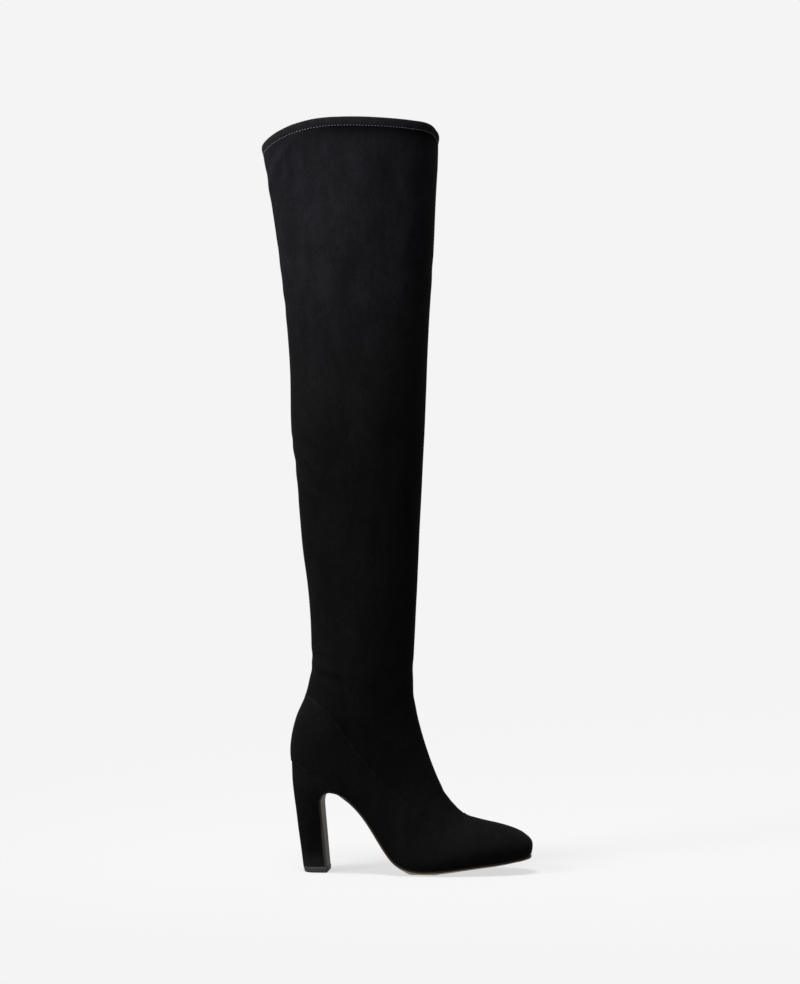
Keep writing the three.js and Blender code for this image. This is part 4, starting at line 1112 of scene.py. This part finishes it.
def build_lift():
    # z, back, front, half width
    prof = [(0.0, -82.9, -62.3, 13.9), (0.1, -83.1, -61.9, 14.3), (0.3, -83.25, -61.6, 14.6), (0.7, -83.45, -61.35, 14.85), (1.4, -83.65, -61.25, 14.9),
            (3.2, -84.1, -61.15, 14.9), (4.8, -84.5, -61.1, 14.85), (5.1, -84.5, -61.15, 14.7), (5.3, -84.2, -61.4, 14.5), (5.45, -83.9, -61.9, 14.3)]
    rings = []
    for z, back, front, half in prof:
        side = []
        for k in range(15):
            a = k / 14 * math.pi / 2
            side.append((back + 9.5 * (1 - math.cos(a)), half * math.sin(a)))
        side += [(back + (front - back) * s, half) for s in (0.6, 0.75, 0.88)]
        r = 1.2
        for k in range(6):
            a = k / 5 * math.pi / 2
            side.append((front - r + r * math.sin(a), half - r + r * math.cos(a)))
        rings.append([[x, -y, z] for x, y in side] + [[x, y, z] for x, y in side[::-1][:-1]])
    R = np.array(rings)
    n = R.shape[1]
    faces = grid_faces(R.shape[0], n, True, False).tolist()
    V = R.reshape(-1, 3)
    faces.append(list(range(n))[::-1])
    faces.append([(R.shape[0] - 1) * n + j for j in range(n)])
    ob = mesh_object("top_lift_rubber", V, faces, [MAT_RUBBER], None)
    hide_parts("top_lift")
    return ob


lift_ob = build_lift()


def build_insole():
    low, high = offset_line(SEAT, 0.04), offset_line(SEAT, GAP + INSOLE_THICK)
    a = np.linspace(0, np.pi, 130)
    x = -92.9 + (118.2 + 92.9) * (0.35 * (1 - np.cos(a)) / 2 + 0.65 * a / np.pi)
    rings = []
    for xi in x:
        z0, z1 = on_line(low, xi), on_line(high, xi)
        o0, i0, _ = width_at(xi, z0)
        o1, i1, _ = width_at(xi, z1)
        inset = WALL * 1.12 + GAP
        o, i = max(o0, o1) + inset, min(i0, i1) - inset
        mid, half = (o + i) / 2, max(1.2, (i - o) / 2)
        prof = [(-1, z0), (1, z0), (1, z0 + 1.5), (0.985, z1 - 0.25), (0.95, z1 - 0.03), (0.85, z1), (0.3, z1), (-0.3, z1), (-0.85, z1), (-0.95, z1 - 0.03), (-0.985, z1 - 0.25), (-1, z0 + 1.5)]
        rings.append([[xi, mid + half * p, z] for p, z in prof])
    R = np.array(rings)
    n = R.shape[1]
    faces = grid_faces(R.shape[0], n, True, False).tolist()
    V = R.reshape(-1, 3)
    faces.append(list(range(n)))
    faces.append([(R.shape[0] - 1) * n + j for j in range(n)][::-1])
    ob = mesh_object("insole_sock", V, faces, [MAT_SOCK], None)
    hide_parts("insole")
    return ob


insole_ob = build_insole()

# ------------------------------------------------------------------ floor and light
FLOOR_ALBEDO, FLOOR_GLOW = 0.07, 0.656


def floor_material():
    """White light-table floor: mostly its own even glow, so that only the nearest shade shows on it."""
    n = Nodes("studio_floor")
    n.bsdf.inputs["Emission Color"].default_value = (1, 1, 1, 1)
    n.bsdf.inputs["Emission Strength"].default_value = FLOOR_GLOW
    return n.finish((FLOOR_ALBEDO,) * 3, 1.0, None, 0.0)


me = bpy.data.meshes.new("floor")
S = 30.0
me.from_pydata([(-S, -S, 0), (S, -S, 0), (S, S, 0), (-S, S, 0)], [], [(0, 1, 2, 3)])
me.materials.append(floor_material())
floor = bpy.data.objects.new("floor", me)
scene.collection.objects.link(floor)

WORLD_LEVEL = 0.905
world = bpy.data.worlds.new("studio")
scene.world = world
world.use_nodes = True
bg = world.node_tree.nodes["Background"]
bg.inputs["Color"].default_value = (WORLD_LEVEL, WORLD_LEVEL, WORLD_LEVEL, 1)
bg.inputs["Strength"].default_value = 1.0


def aimed(o, azim, elev):
    a, e = math.radians(azim), math.radians(elev)
    o.rotation_euler = Vector((math.cos(a) * math.cos(e), math.sin(a) * math.cos(e), math.sin(e))).to_track_quat("Z", "Y").to_euler()


def sun(name, azim, elev, strength, spread):
    """A soft sun: azim 0 shines from +X, 90 from +Y, 270 from the camera's side; elev above the floor."""
    d = bpy.data.lights.new(name, "SUN")
    d.energy, d.angle = strength, math.radians(spread)
    o = bpy.data.objects.new(name, d)
    scene.collection.objects.link(o)
    aimed(o, azim, elev)
    return o


def softbox(name, at, to, side, watts, spread):
    d = bpy.data.lights.new(name, "AREA")
    d.shape, d.size, d.energy, d.spread = "SQUARE", side, watts, math.radians(spread)
    o = bpy.data.objects.new(name, d)
    scene.collection.objects.link(o)
    o.location = at
    o.rotation_euler = (Vector(at) - Vector(to)).to_track_quat("Z", "Y").to_euler()
    o.visible_camera = False
    return o


sun("key", 218, 16, 1.7, 50)
sun("overhead", 236, 78, 8.0, 18)
softbox("upper_left", (-0.80, -0.78, 0.80), (-0.06, 0.0, 0.60), 0.35, 6.5, 75)

scene.view_settings.view_transform = "Standard"
scene.view_settings.look = "None"
scene.view_settings.exposure = 0.0
scene.view_settings.gamma = 1.0
